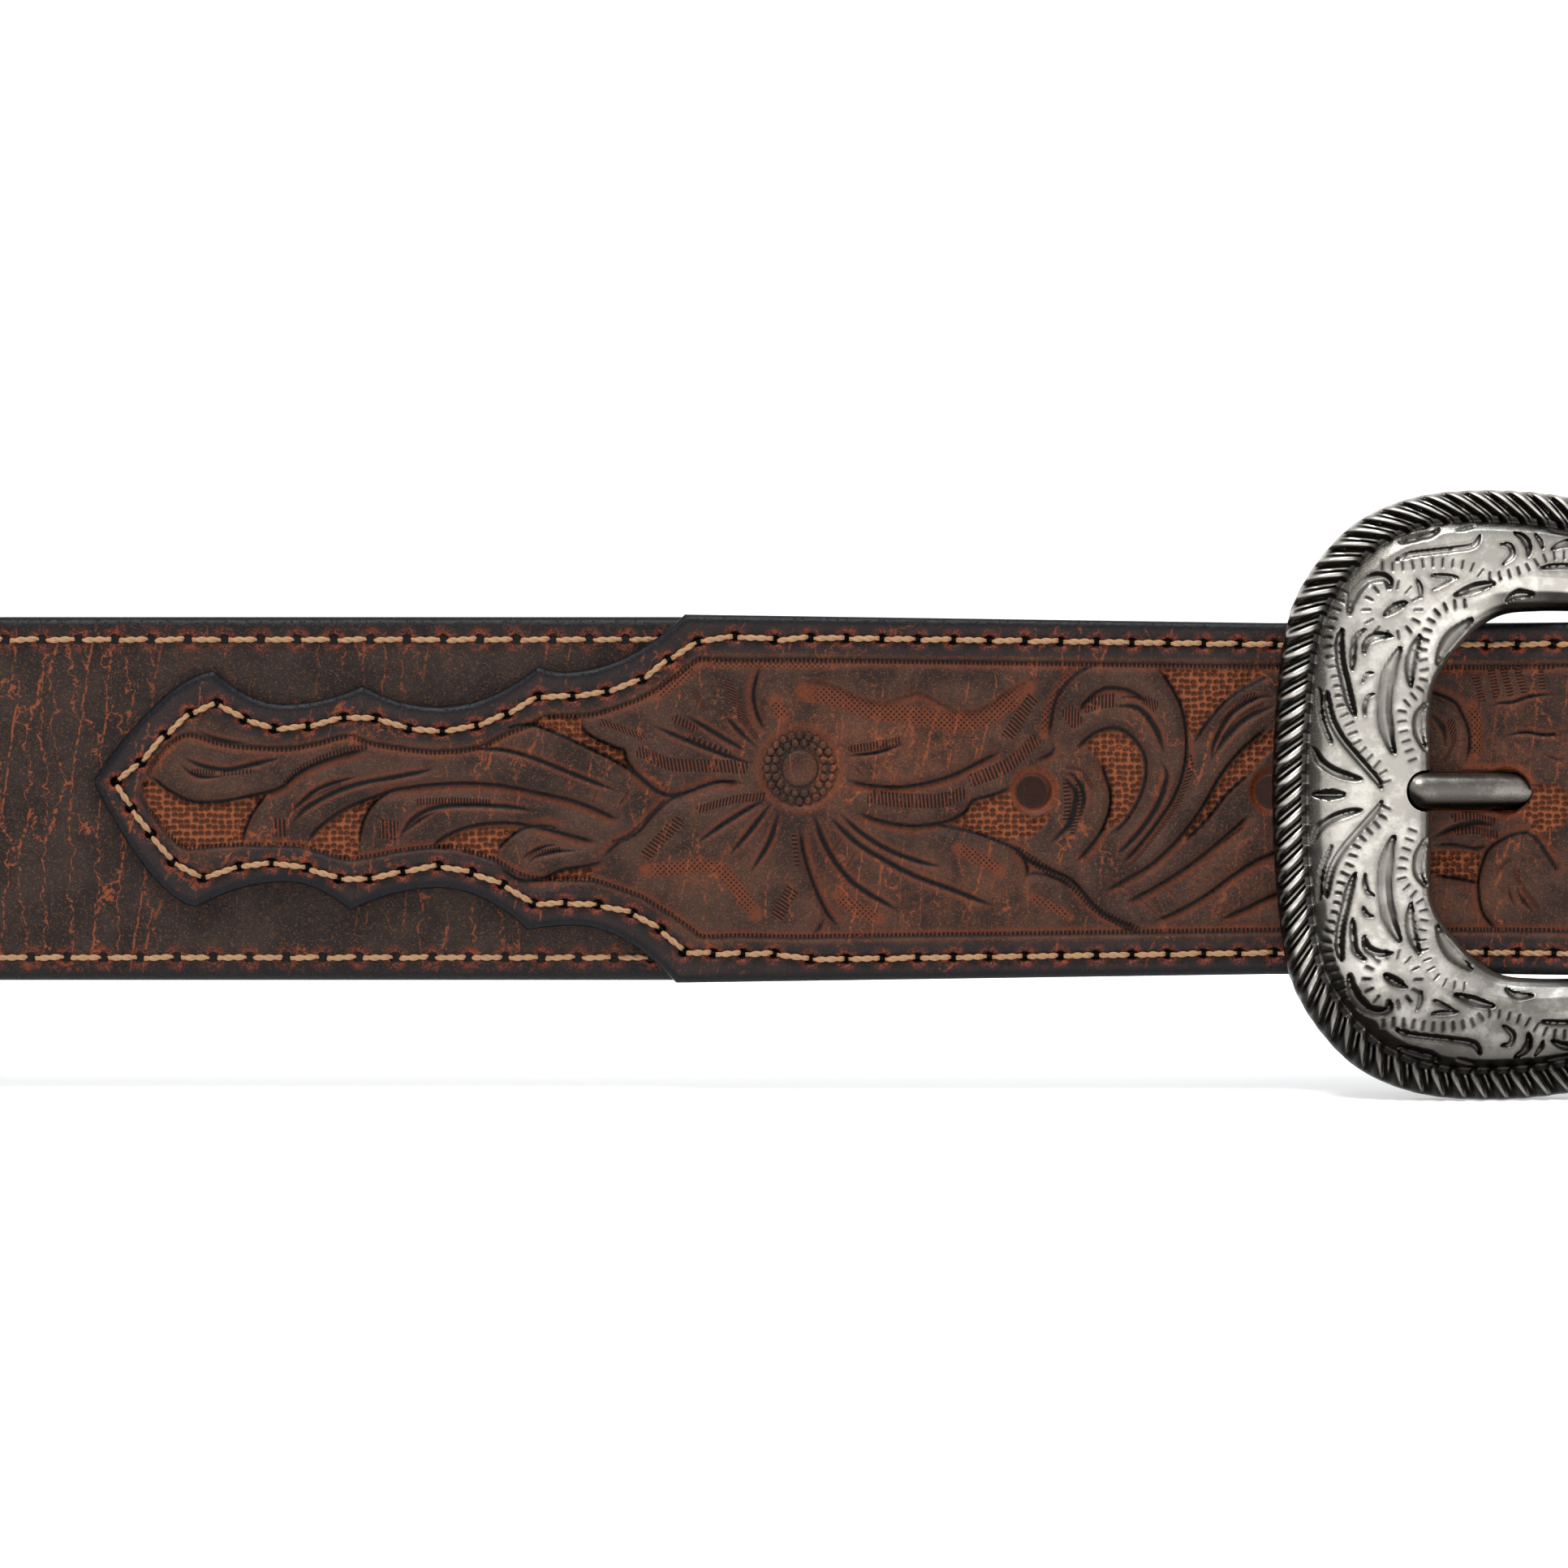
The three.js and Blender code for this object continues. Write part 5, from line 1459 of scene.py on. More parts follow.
def tick_row(field, length, slant, step, points, strength=1.0):
    """A row of short parallel ticks: a mask, and a phase that grows by one from tick to tick."""
    line = curve_through(points)
    chosen, distance, share = field.near(line, length / 2 + 0.4)
    lengths = lengths_along(line)
    ahead = np.gradient(line, axis=0)
    heading = np.interp(share * lengths[-1], lengths, np.unwrap(np.arctan2(ahead[:, 1], ahead[:, 0])))
    lean = math.radians(slant) - heading
    steep = np.where(np.abs(np.sin(lean)) < 0.3, 0.3, np.abs(np.sin(lean))) * np.sign(np.sin(lean) + 1e-9)
    phase = (share * lengths[-1] - distance * np.cos(lean) / steep) / step
    inside = 1 - smooth((np.abs(distance / steep) - length / 2 + 0.15) / 0.25)
    inside *= strength * smooth(np.minimum(share, 1 - share) * lengths[-1] / 0.15)
    better = inside >= field.marks["tick"][chosen]
    field.marks["tick"][chosen[better]] = inside[better]
    field.marks["phase"][chosen[better]] = phase[better]
    field.mark("rust", chosen, 0.6 * inside)


def inside_polygon(polygon, u, v):
    inside = np.zeros(u.size, bool)
    for (a, b), (c, d) in zip(polygon, np.roll(polygon, -1, axis=0)):
        crosses = ((b > v) != (d > v)) & (u < (c - a) * (v - b) / (d - b + 1e-12) + a)
        inside ^= crosses
    return inside


def pocket(field, points):
    """A pocket of matted ground between the leaves."""
    polygon = np.array(points, float)
    low, high = polygon.min(0), polygon.max(0)
    if low[0] > field.high or high[0] < field.low:
        return
    chosen = np.nonzero((field.along > low[0]) & (field.along < high[0])
                        & (field.up > low[1]) & (field.up < high[1]))[0]
    if chosen.size == 0:
        return
    chosen = chosen[inside_polygon(polygon, field.along[chosen], field.up[chosen])]
    matted = np.zeros(field.along.size)
    matted[chosen] = 1
    border, distance, _ = field.near(np.vstack([polygon, polygon[:1]]), 0.5)
    matted[border] *= smooth(np.abs(distance) / 0.5)
    field.sink(chosen, POCKET_DEPTH * matted[chosen])
    field.mark("matting", chosen, matted[chosen])
    field.mark("rust", chosen, matted[chosen])


def stipple_band(field, half_width, points):
    chosen, distance, share = field.near(curve_through(points), half_width + 0.4)
    band = 1 - smooth((np.abs(distance) - half_width + 0.3) / 0.6)
    field.mark("stipple", chosen, band * np.clip(np.minimum(share, 1 - share) * 12, 0, 1))
    field.mark("rust", chosen, band * 0.8)


def flower_middle(field):
    """A raised disc in two rings of beads on lowered ground."""
    if FLOWER[0] + 6 < field.low or FLOWER[0] - 6 > field.high:
        return
    u, v = field.along - FLOWER[0], field.up - FLOWER[1]
    radius = np.hypot(u, v)
    near = np.nonzero(radius < 5)[0]
    r = radius[near]
    ground = 0.34 * (1 - smooth((r - 3.9) / 0.7))
    turn = np.arctan2(v[near], u[near])
    raised = np.zeros(near.size)
    edge = np.zeros(near.size)
    disc = 1 - smooth((r - DISC_RADIUS + 0.25) / 0.25)
    for ring, count in BEAD_RINGS:
        step = 2 * math.pi / count
        off = (turn / step - np.round(turn / step)) * step * ring
        apart = np.hypot(off, r - ring) / BEAD_RADIUS
        bead = np.sqrt(np.clip(1 - apart ** 2, 0, 1))
        raised = np.maximum(raised, 0.3 * bead)
        edge = np.maximum(edge, np.exp(-((apart - 1.0) / 0.22) ** 2))
    raised = np.maximum(raised, 0.32 * disc)
    edge = np.maximum(edge, np.exp(-((r - DISC_RADIUS) / 0.14) ** 2))
    field.height[near] = np.minimum(field.height[near], 0) * smooth((r - 3.8) / 1.2)
    field.height[near] += raised - ground
    for name in ("groove", "stipple", "matting"):
        field.marks[name][near] *= smooth((r - 3.9) / 0.6)
    field.mark("groove", near, 0.7 * edge * (r < 4.1))
    field.mark("rust", near, 0.6 * np.exp(-((r - 4.3) / 0.5) ** 2))


def stitch_pits(field):
    """Awl holes of the overlay's rows, a little sunk, with frayed rust leather round them."""
    for row in overlay_rows():
        for run, up in row:
            if not field.low - 2 < run < field.high + 2:
                continue
            near = np.nonzero((np.abs(field.along - run) < 2.2) & (np.abs(field.up - up) < 2.2))[0]
            r = np.hypot((field.along[near] - run) * 0.9, field.up[near] - up)
            field.sink(near, 0.75 * np.exp(-(r / 0.52) ** 4))
            field.mark("groove", near, 1 - smooth((r - 0.44) / 0.22))
            field.mark("fray", near, 1 - smooth((r - 0.3) / 1.4))


def thread_channel(field):
    """The leather sinks a little under its stitches."""
    for row in overlay_rows():
        chosen, distance, _ = field.near(row, 1.4)
        field.sink(chosen, 0.14 * np.exp(-(distance / 0.6) ** 2))


def prong_rim_wear_and_shade(field):
    """Rusty, worn rim of the slot that the prong lies in, with painted shade along its edge where the prong
    meets the leather.
    """
    near = np.nonzero(np.hypot(field.along - HOLE_RUN, field.up - HOLE_RISE) < 6)[0]
    along, up = field.along[near] - HOLE_RUN, field.up[near] - HOLE_RISE
    beside = np.hypot(np.maximum(along - SLOT_END + HOLE_RUN, 0), up) - SLOT_HALF
    field.mark("groove", near, 0.8 * (1 - smooth((beside - 0.05) / 0.4)))
    field.mark("rust", near, 1 - smooth((beside - 0.4) / 0.9))


def hole_rims(field):
    """Worn, bevelled rims of the punched holes."""
    for run in hole_runs():
        near = np.nonzero(np.abs(field.along - run) < 6)[0]
        r = np.hypot(field.along[near] - run, field.up[near] - HOLE_RISE)
        field.sink(near, 0.55 * (1 - smooth((r - HOLE_RADIUS) / 0.7)))
        field.mark("rust", near, 1 - smooth((r - HOLE_RADIUS - 0.2) / 0.8))
        for name in ("groove", "matting", "stipple"):
            field.marks[name][near] *= smooth((r - HOLE_RADIUS - 0.1) / 0.5)


def border(field):
    """Both border lines, with the fine ticks of the beveller along their inner side."""
    for line in border_lines():
        bevel(field, line, 0.24, 1.5, 0.5, 0.55)
        ahead = np.gradient(line, axis=0)
        ahead /= np.linalg.norm(ahead, axis=1)[:, None]
        inner = line + 0.42 * np.column_stack([ahead[:, 1], -ahead[:, 0]])
        tick_row(field, 0.5, 90, 0.46, inner, 0.7)


def rust_patches(field):
    worn = np.zeros(field.along.size)
    for run, up, reach, height, strength in RUST_PATCHES:
        away = ((field.along - run) / reach) ** 2 + ((field.up - up) / height) ** 2
        worn = np.maximum(worn, strength * np.exp(-away))
    field.marks["patina_and_underside_shade"] = worn


def tooled_surface(runs, up):
    """Heights below the leather's face and the marks that colour it."""
    field = Field(runs, up, TOOL_MARKS)
    for points in SOFT_LIPS:
        bevel(field, points, LIP_DEPTH, LIP_REACH, 2.5, 0.35)
    for points in BEVELS:
        bevel(field, points)
    for points in POCKETS:
        pocket(field, points)
    for half_width, points in STIPPLES:
        stipple_band(field, half_width, points)
    for half_width, points in CUTS:
        cut(field, half_width, points)
    for points in LADDERS:
        cut(field, 0.14, points, 0.12, 0.85)
    for row in TICKS:
        tick_row(field, *row)
    flower_middle(field)
    border(field)
    hole_rims(field)
    prong_rim_wear_and_shade(field)
    thread_channel(field)
    stitch_pits(field)
    rust_patches(field)
    round_edges(field)
    return field.height.reshape(runs.shape), {k: v.reshape(runs.shape) for k, v in field.marks.items()}


def overlay_outline(low, high):
    runs = np.arange(low - 2, high + 2, OUTLINE_STEP)
    runs = np.clip(runs, OVERLAY_CUTS[0], OVERLAY_END)
    top, bottom = overlay_edges(runs)
    return np.column_stack([runs, top]), np.column_stack([runs, bottom])


def round_edges(field):
    """Rounds the dressed edges and notes how far in they reach."""
    distance = np.full(field.along.size, 9.0)
    window = 6.0
    for start in np.arange(field.low, field.high + 0.01, window):
        here = np.nonzero((field.along >= start) & (field.along < start + window))[0]
        if here.size == 0:
            continue
        u, v = field.along[here], field.up[here]
        best = np.full(here.size, 9.0)
        for line in overlay_outline(start, start + window):
            steps = np.diff(line, axis=0)
            for (a, b), (du, dv) in zip(line[:-1], steps):
                length = du * du + dv * dv
                if length == 0:
                    continue
                t = np.clip(((u - a) * du + (v - b) * dv) / length, 0, 1)
                best = np.minimum(best, np.hypot(u - a - t * du, v - b - t * dv))
        distance[here] = best
    inward = np.clip(1 - distance / OVERLAY_EDGE, 0, 1)
    field.height -= OVERLAY_DROP * (1 - np.sqrt(1 - inward ** 2 * 0.999))
    field.marks["edge"] = 1 - smooth((distance - OVERLAY_EDGE * 0.6) / 0.6)
    field.marks["channel"] = 1 - smooth((distance - CHANNEL_WIDTH + 0.3) / 0.5)


# Buckle


def frame_curve(rows):
    """Half an outline and its mirror image, from heel to heel, with one more point beyond each end."""
    upper = np.array(rows, float)
    lower = upper[1:][::-1] * [1, -1]
    return with_ends(np.vstack([lower, upper]))


def catmull_centripetal(padded, t):
    """Places on a centripetal curve at shares of its spans."""
    spans = len(padded) - 3
    place = np.clip(t, 0, 1) * spans
    index = np.minimum(place.astype(int), spans - 1)
    weight = place - index
    a, b, c, d = (padded[index + k] for k in range(4))
    ab = np.hypot(*(b - a).T) ** 0.5
    bc = np.hypot(*(c - b).T) ** 0.5
    cd = np.hypot(*(d - c).T) ** 0.5
    first = ((b - a) / ab[:, None] - (c - a) / (ab + bc)[:, None] + (c - b) / bc[:, None]) * bc[:, None]
    second = ((c - b) / bc[:, None] - (d - b) / (bc + cd)[:, None] + (d - c) / cd[:, None]) * bc[:, None]
    w = weight[:, None]
    return (
        b + first * w + (-3 * b + 3 * c - 2 * first - second) * w ** 2
        + (2 * b - 2 * c + first + second) * w ** 3
    )


OUTER_CURVE = frame_curve([
    (along * FRAME_WIDTH, up * OPENING_HEIGHT / 2 + bar * SIDE_BAR_WIDTH)
    for along, up, bar, _, _ in FRAME_SECTIONS
])
INNER_CURVE = frame_curve([
    (lerp(END_BAR_WIDTH, HEEL_RUN, along), up * OPENING_HEIGHT / 2)
    for _, _, _, along, up in FRAME_SECTIONS
])


def outer_arc():
    t = np.linspace(0, 1, 4001)
    return t, lengths_along(catmull_centripetal(OUTER_CURVE, t))


ARC_T, ARC_LENGTHS = outer_arc()
STRANDS = round(ARC_LENGTHS[-1] / ROPE_PITCH)


def frame_edges(share):
    """Outer and inner edge of the plate at even shares of its outer length."""
    t = np.interp(np.clip(share, 0, 1) * ARC_LENGTHS[-1], ARC_LENGTHS, ARC_T)
    return catmull_centripetal(OUTER_CURVE, t), catmull_centripetal(INNER_CURVE, t)


def limb_patina(across):
    """The rubbed crown is bright; the slope to the opening and the groove by the rope stay dark."""
    return 0.5 * np.exp(-(across / 0.12) ** 2) + 1.0 * np.exp(-((1 - across) / 0.15) ** 2)


def plate_point(place, height):
    bowed = FRAME_BOW * smooth((place[..., 0] - END_BAR_WIDTH) / (HEEL_RUN - END_BAR_WIDTH))
    return np.stack([
        FRAME_LEFT + place[..., 0], END_BAR_BACK + bowed - height, BUCKLE_RISE + place[..., 1],
    ], axis=-1)


def ring_values(rows, first, last):
    """Values for whole rings from rows that cover only the points from first to last, then caps."""
    whole = np.zeros((len(rows), PLATE_POINTS))
    whole[:, first:last] = rows
    return np.concatenate([whole.ravel(), [0, 0]])


def make_plate(material):
    share = np.linspace(0, 1, PLATE_STATIONS)
    outside, inside = frame_edges(share)
    width = np.hypot(*(outside - inside).T)
    way = (outside - inside) / width[:, None]
    fitted = np.minimum(1, width * ROPE_SHARE / (ROPE_WIDTH + GROOVE_WIDTH))
    body = width - (ROPE_WIDTH + GROOVE_WIDTH) * fitted
    across = np.linspace(0, 1, BODY_POINTS)
    body_height = np.interp(across, BODY_ACROSS, BODY_HEIGHT) * FRAME_THICKNESS
    places = inside[:, None, :] + way[:, None, :] * (across * body[:, None])[..., None]
    field = Field(places[..., 0], places[..., 1], ("groove", "patina_and_underside_shade"))
    engrave(field)
    field.height *= np.tile(smooth(across / 0.08) * smooth((1 - across) / 0.08), len(share))
    field.mark("patina_and_underside_shade", np.arange(field.along.size), np.tile(limb_patina(across), len(share)))
    front = plate_point(places, body_height + field.height.reshape(len(share), BODY_POINTS))
    rope_across = np.linspace(0, 1, ROPE_POINTS)
    reach = width[:, None] - ROPE_WIDTH * fitted[:, None] * (1 - rope_across)
    rope_places = inside[:, None, :] + way[:, None, :] * reach[..., None]
    turns = share[:, None] * STRANDS + ROPE_LEAD * rope_across
    ridge = np.sin(np.pi * np.clip((turns % 1) / STRAND_SHARE, 0, 1)) ** 0.6
    round_rope = np.sqrt(np.clip(1 - (2 * rope_across - 0.75) ** 2 / 1.6, 0, 1))
    grown = np.minimum(1, np.minimum(share, 1 - share) * STRANDS / 2)[:, None]
    swell = ROPE_RELIEF * (2 * ridge - 1) * grown
    rope = plate_point(rope_places, lerp(0.4, 0.8, round_rope) * FRAME_THICKNESS + swell)
    back_shares = np.linspace(1, 0, PLATE_BACK_POINTS)
    back_reach = GAP + (width[:, None] - 2 * GAP) * back_shares
    back = plate_point(inside[:, None, :] + way[:, None, :] * back_reach[..., None], 0 * back_reach)
    rings = np.concatenate([front, rope, back], axis=1)
    points, faces = capped_tube(rings)
    rope_end = BODY_POINTS + ROPE_POINTS
    attributes = {
        "place": front_place(points),
        "groove": ring_values(field.marks["groove"].reshape(len(share), -1), 0, BODY_POINTS),
        "patina_and_underside_shade": ring_values(field.marks["patina_and_underside_shade"].reshape(len(share), -1), 0, BODY_POINTS),
        "rope": ring_values(np.tile(1 + rope_across, (len(share), 1)), BODY_POINTS, rope_end),
        "phase": ring_values(turns, BODY_POINTS, rope_end),
    }
    around = rings.shape[1]
    sharp = np.zeros(len(points), bool)
    sharp[:around] = True
    sharp[-around - 2:] = True
    piece = make_mesh("buckle_plate", points, faces, material, attributes, sharp)
    carve(piece, [shank_object("notch", PRONG_RADIUS + GAP)])
    return finish_piece(piece, "antique_silver", "buckle_frame")


# Leaf cuts on the upper half of the buckle, mirrored below: width, then run and height
ENGRAVING = [
    (0.9, [(4.1, 5.0), (4.9, 3.5), (6.2, 2.5), (7.8, 1.9), (9.2, 1.6)]),
    (0.8, [(5.6, 10.9), (5.7, 9.3), (6.2, 7.5), (7.1, 5.9), (8.3, 4.4), (9.6, 2.9),
           (10.8, 1.5), (11.3, 0.6)]),
    (0.5, [(4.8, 11.2), (4.9, 9.4), (5.2, 7.6), (5.7, 6.2), (6.1, 5.3)]),
    (1.5, [(4.2, 0.0), (5.7, 0.0), (7.5, 0.0)]),
    (1.7, [(12.6, 4.2), (12.0, 6.0), (11.6, 8.5), (11.7, 11.0), (12.2, 13.2), (12.9, 14.8), (13.3, 15.5)]),
    (1.3, [(15.3, 16.8), (14.6, 15.0), (14.3, 13.0), (14.4, 11.3)]),
    (1.1, [(16.2, 9.7), (15.3, 8.4), (15.2, 6.8), (15.7, 5.4), (16.2, 4.6)]),
    (1.4, [(17.3, 13.6), (17.8, 15.2), (18.9, 16.8), (21.0, 18.5)]),
    (0.9, [(24.4, 20.3), (25.5, 21.1), (27.4, 21.1)]),
    (1.5, [(11.5, 18.8), (12.3, 19.4), (13.2, 19.9), (13.9, 20.2)]),
    (1.1, [(7.9, 18.8), (8.2, 20.3), (8.9, 21.6), (10.0, 22.6), (11.2, 22.9), (12.1, 22.5), (12.2, 21.6)]),
    (0.7, [(12.8, 24.6), (14.2, 25.2), (16.5, 25.5), (19.0, 25.8), (21.0, 26.2), (21.7, 27.3)]),
    (0.8, [(13.2, 26.5), (15.0, 27.0), (16.7, 27.4), (17.5, 28.0)]),
    (0.4, [(19.2, 27.7), (20.3, 28.0), (21.2, 28.3)]),
    (1.2, [(18.8, 20.9), (20.2, 21.4), (21.8, 21.9), (23.2, 22.2)]),
    (0.6, [(16.4, 23.0), (17.8, 22.9), (19.3, 22.8)]),
    (0.4, [(16.6, 21.5), (17.6, 22.0), (18.8, 22.6)]),
    (0.5, [(14.9, 22.7), (15.3, 21.8), (15.4, 20.6)]),
    (0.9, [(9.4, 14.8), (9.7, 16.0), (10.6, 16.6), (11.8, 16.7), (12.4, 16.6)]),
    (1.0, [(7.2, 17.5), (6.9, 16.0), (7.0, 14.0), (7.4, 12.2), (7.9, 10.0), (8.5, 8.2)]),
    (0.7, [(9.6, 17.4), (8.6, 16.5), (8.3, 15.0), (8.2, 13.0)]),
    (0.5, [(10.4, 12.8), (9.7, 12.6), (9.2, 11.7)]),
    (0.5, [(10.5, 10.6), (9.8, 10.2), (9.5, 9.2), (9.5, 8.2)]),
    (0.6, [(23.8, 26.3), (24.8, 26.2), (25.1, 25.3), (24.5, 24.6), (24.0, 24.2)]),
    (1.0, [(25.3, 27.6), (26.3, 27.0), (26.8, 26.0), (26.7, 25.0)]),
    (0.6, [(27.5, 27.5), (28.1, 26.6), (28.3, 25.8)]),
    (0.9, [(29.2, 25.8), (30.5, 26.4), (32.4, 26.6)]),
    (0.7, [(28.0, 23.8), (29.8, 24.0), (32.4, 24.0)]),
    (0.4, [(29.0, 27.9), (30.5, 27.6), (32.5, 27.4)]),
    (0.9, [(34.0, 26.8), (35.4, 26.3), (36.4, 25.2), (36.2, 24.0)]),
    (0.9, [(38.0, 26.0), (39.4, 25.4), (41.6, 25.3)]),
    (0.8, [(38.6, 22.6), (40.4, 22.9), (42.4, 22.4)]),
    (0.6, [(43.6, 24.6), (44.6, 23.6), (45.0, 22.2)]),
]
BUCKLE_TICKS = [
    [(12.0, 0.9), (11.2, 2.7), (9.9, 3.9), (8.6, 5.5), (7.9, 7.4), (7.1, 9.1), (6.7, 11.5), (6.1, 13.8),
     (5.6, 16.0), (6.1, 18.3), (7.0, 20.3), (7.8, 21.8)],
    [(10.9, 24.0), (13.7, 24.0), (16.8, 24.4), (20.5, 24.0), (22.6, 22.9), (26.0, 23.6),
     (30.0, 25.2), (38.0, 24.4)],
    [(14.8, 3.2), (14.0, 5.4), (13.5, 7.4), (13.6, 9.2), (15.4, 11.1), (15.9, 12.7), (15.6, 15.2),
     (16.5, 18.3), (18.0, 19.7), (20.8, 20.2)],
]


def engrave(field):
    """Leaf cuts and rows of ticks on the buckle."""
    for side in (1, -1):
        for width, points in ENGRAVING:
            leaf_cut(field, width, np.array(points) * [1, side])
        for points in BUCKLE_TICKS:
            for middle, way in evenly(curve_through(np.array(points) * [1, side]), BUCKLE_TICK_STEP):
                across = np.array([-way[1], way[0]]) * BUCKLE_TICK_LENGTH / 2
                scratch(field, middle - across, middle + across)
        run, up, radius, count = TICK_STAR
        for index in range(count):
            turn = 2 * math.pi * index / count
            ray = np.array([math.cos(turn), math.sin(turn)])
            middle = np.array([run, up * side])
            scratch(field, middle + ray * (radius - 0.4), middle + ray * (radius + 0.4))


def leaf_cut(field, width, points):
    """A leaf-shaped hollow with a dark floor and darker walls."""
    line = curve_through(points, 0.25)
    chosen, distance, share = field.near(line, width / 2 + 0.7)
    half = width / 2 * taper(share, line_length(line), width * 1.8) ** 0.5 + 0.04
    inside = 1 - smooth((np.abs(distance) - half + 0.08) / 0.16)
    hollow = np.clip(1 - (np.abs(distance) / (half + 0.05)) ** 1.3, 0, 1)
    field.sink(chosen, ENGRAVING_DEPTH * inside * hollow * min(width, 1.0))
    wall = np.exp(-((np.abs(distance) - half * 0.85) / 0.13) ** 2)
    field.mark("groove", chosen, inside * np.maximum(LEAF_FLOOR, 0.6 * wall))
    field.mark("patina_and_underside_shade", chosen, 0.5 * np.exp(-((np.abs(distance) - half) / 0.35) ** 2))


def scratch(field, start, end):
    chosen, distance, _ = field.near(np.array([start, end]), BUCKLE_TICK_WIDTH * 3)
    dent = np.exp(-(distance / BUCKLE_TICK_WIDTH) ** 2)
    field.sink(chosen, 0.16 * dent)
    field.mark("groove", chosen, dent)


def evenly(line, step):
    """Places along a line at even steps, with the way that it runs there."""
    lengths = lengths_along(line)
    for at in np.arange(step / 2, lengths[-1], step):
        here = np.array([np.interp(at, lengths, line[:, axis]) for axis in (0, 1)])
        ahead = np.array([np.interp(at + 0.1, lengths, line[:, axis]) for axis in (0, 1)])
        way = ahead - here
        yield here, way / (np.linalg.norm(way) + 1e-9)


def make_heel_bar(material):
    """The heel bar and the two lugs that carry it."""
    half = (OPENING_HEIGHT + LUG_HEIGHT) / 2
    ends = [(HEEL_X, HEEL_Y, BUCKLE_RISE - half), (HEEL_X, HEEL_Y, BUCKLE_RISE + half)]
    bar = round_bar("heel_bar", *ends, [HEEL_BAR_RADIUS] * 2, BAR_SIDES, material)
    finish_piece(bar, "antique_silver", "buckle_frame")
    for side, name in ((1, "lug_upper"), (-1, "lug_lower")):
        near = BUCKLE_RISE + side * (OPENING_HEIGHT / 2 + GAP)
        far = BUCKLE_RISE + side * (OPENING_HEIGHT / 2 + LUG_HEIGHT)
        low = (HEEL_X - LUG_WIDTH / 2, END_BAR_BACK + FRAME_BOW - 1, min(near, far))
        high = (HEEL_X + LUG_WIDTH / 2, HEEL_Y + HEEL_BAR_RADIUS, max(near, far))
        lug = box_object(low, high, name, material)
        soften(lug, 0.6)
        finish_piece(lug, "antique_silver", "buckle_frame")


def soften(piece, width, segments=4):
    """Rounds the edges of a block."""
    modifier = piece.modifiers.new("soften", "BEVEL")
    modifier.width = width * MM
    modifier.segments = segments
    settle(piece)
    piece.data.polygons.foreach_set("use_smooth", np.ones(len(piece.data.polygons), bool))


def shade_prong_underside(shank):
    """Painted shade: the lower half of the prong is marked dark, as if in its own shadow."""
    below = HOLE_RISE - point_vectors(shank.data, "place")[:, 1]
    patina_and_underside_shade = smooth((below + 0.15) / 0.9).astype(np.float32)
    shank.data.attributes.new("patina_and_underside_shade", "FLOAT", "POINT").data.foreach_set("value", patina_and_underside_shade)


def eye_bar(half, radius, material):
    """A bar along the heel bar's axis, as long as twice the half."""
    ends = [(HEEL_X, HEEL_Y, HOLE_RISE - half), (HEEL_X, HEEL_Y, HOLE_RISE + half)]
    return round_bar("cutter", *ends, [radius] * 2, PRONG_SIDES, material)


def make_prong(material):
    shank = shank_object("prong_shank", PRONG_RADIUS, material, PRONG_SIDES)
    shade_prong_underside(shank)
    half = EYE_WIDTH / 2
    eye = eye_bar(half, FOLD_RADIUS + EYE_WALL, material)
    bore = eye_bar(half + 2, FOLD_RADIUS, material)
    carve(shank, [eye], "UNION")
    carve(shank, [bore])
    return finish_piece(shank, "antique_silver", "buckle_prong")


# Keeper


def rounded_rectangle(low, high, corner, turns=6):
    """Outline in Y and Z, starting at the bottom of its front side and going up."""
    corners = [
        (low[0] + corner, low[1] + corner, math.pi), (low[0] + corner, high[1] - corner, math.pi / 2),
        (high[0] - corner, high[1] - corner, 0), (high[0] - corner, low[1] + corner, -math.pi / 2),
    ]
    points = []
    for y, z, start in corners:
        for turn in np.linspace(math.pi / 2, 0, turns + 1):
            angle = start + turn
            points.append((y + corner * math.cos(angle), z + corner * math.sin(angle)))
    return np.array(points)


def make_keeper(material):
    half = max(BILLET_WIDTH / 2 + OVERLAY_PROUD, CHAPE_WIDTH / 2) + GAP
    front = -LAP - OVERLAY_LIFT - GAP
    back = STRAP_THICKNESS + GAP + CHAPE_THICKNESS + GAP
    middle = HEEL_X + (CHAPE_SETTLE + CHAPE_RETURN) / 2
    inner = rounded_rectangle((front, -half), (back, half), GAP)
    wall = KEEPER_THICKNESS
    outer = rounded_rectangle((front - wall, -half - wall), (back + wall, half + wall), KEEPER_CORNER)
    loops = []
    for along, share in keeper_profile():
        loop = inner + (outer - inner) * share
        loops.append(np.column_stack([np.full(len(loop), middle + along), loop]))
    rings = np.array(loops)
    points = rings.reshape(-1, 3)
    count, around = rings.shape[:2]
    quads = tube_quads(count + 1, around) % (count * around)
    along = np.repeat([abs(row[0]) for row in keeper_profile()], around)
    edge_mark = smooth((along - KEEPER_WIDTH / 2 + 1.2) / 0.8)
    piece = make_mesh("keeper", points, [quads], material, {"place": front_place(points), "edge": edge_mark})
    return finish_piece(piece, "keeper_leather", "keeper_loop")


def keeper_profile():
    """Section of the keeper's band: along the belt and share of its wall, rounded outside."""
    half, round_share = KEEPER_WIDTH / 2, 0.35
    turns = np.linspace(0, math.pi / 2, CORNER_POINTS)
    rise = [(-half + 0.6 * (1 - math.cos(t)), 1 - round_share * (1 - math.sin(t))) for t in turns]
    fall = [(-along, share) for along, share in reversed(rise)]
    top = [(along, 1) for along in np.linspace(-half + 1.2, half - 1.2, 5)]
    return [(-half, 0.0), *rise, *top, *fall, (half, 0.0)]


# Stitches

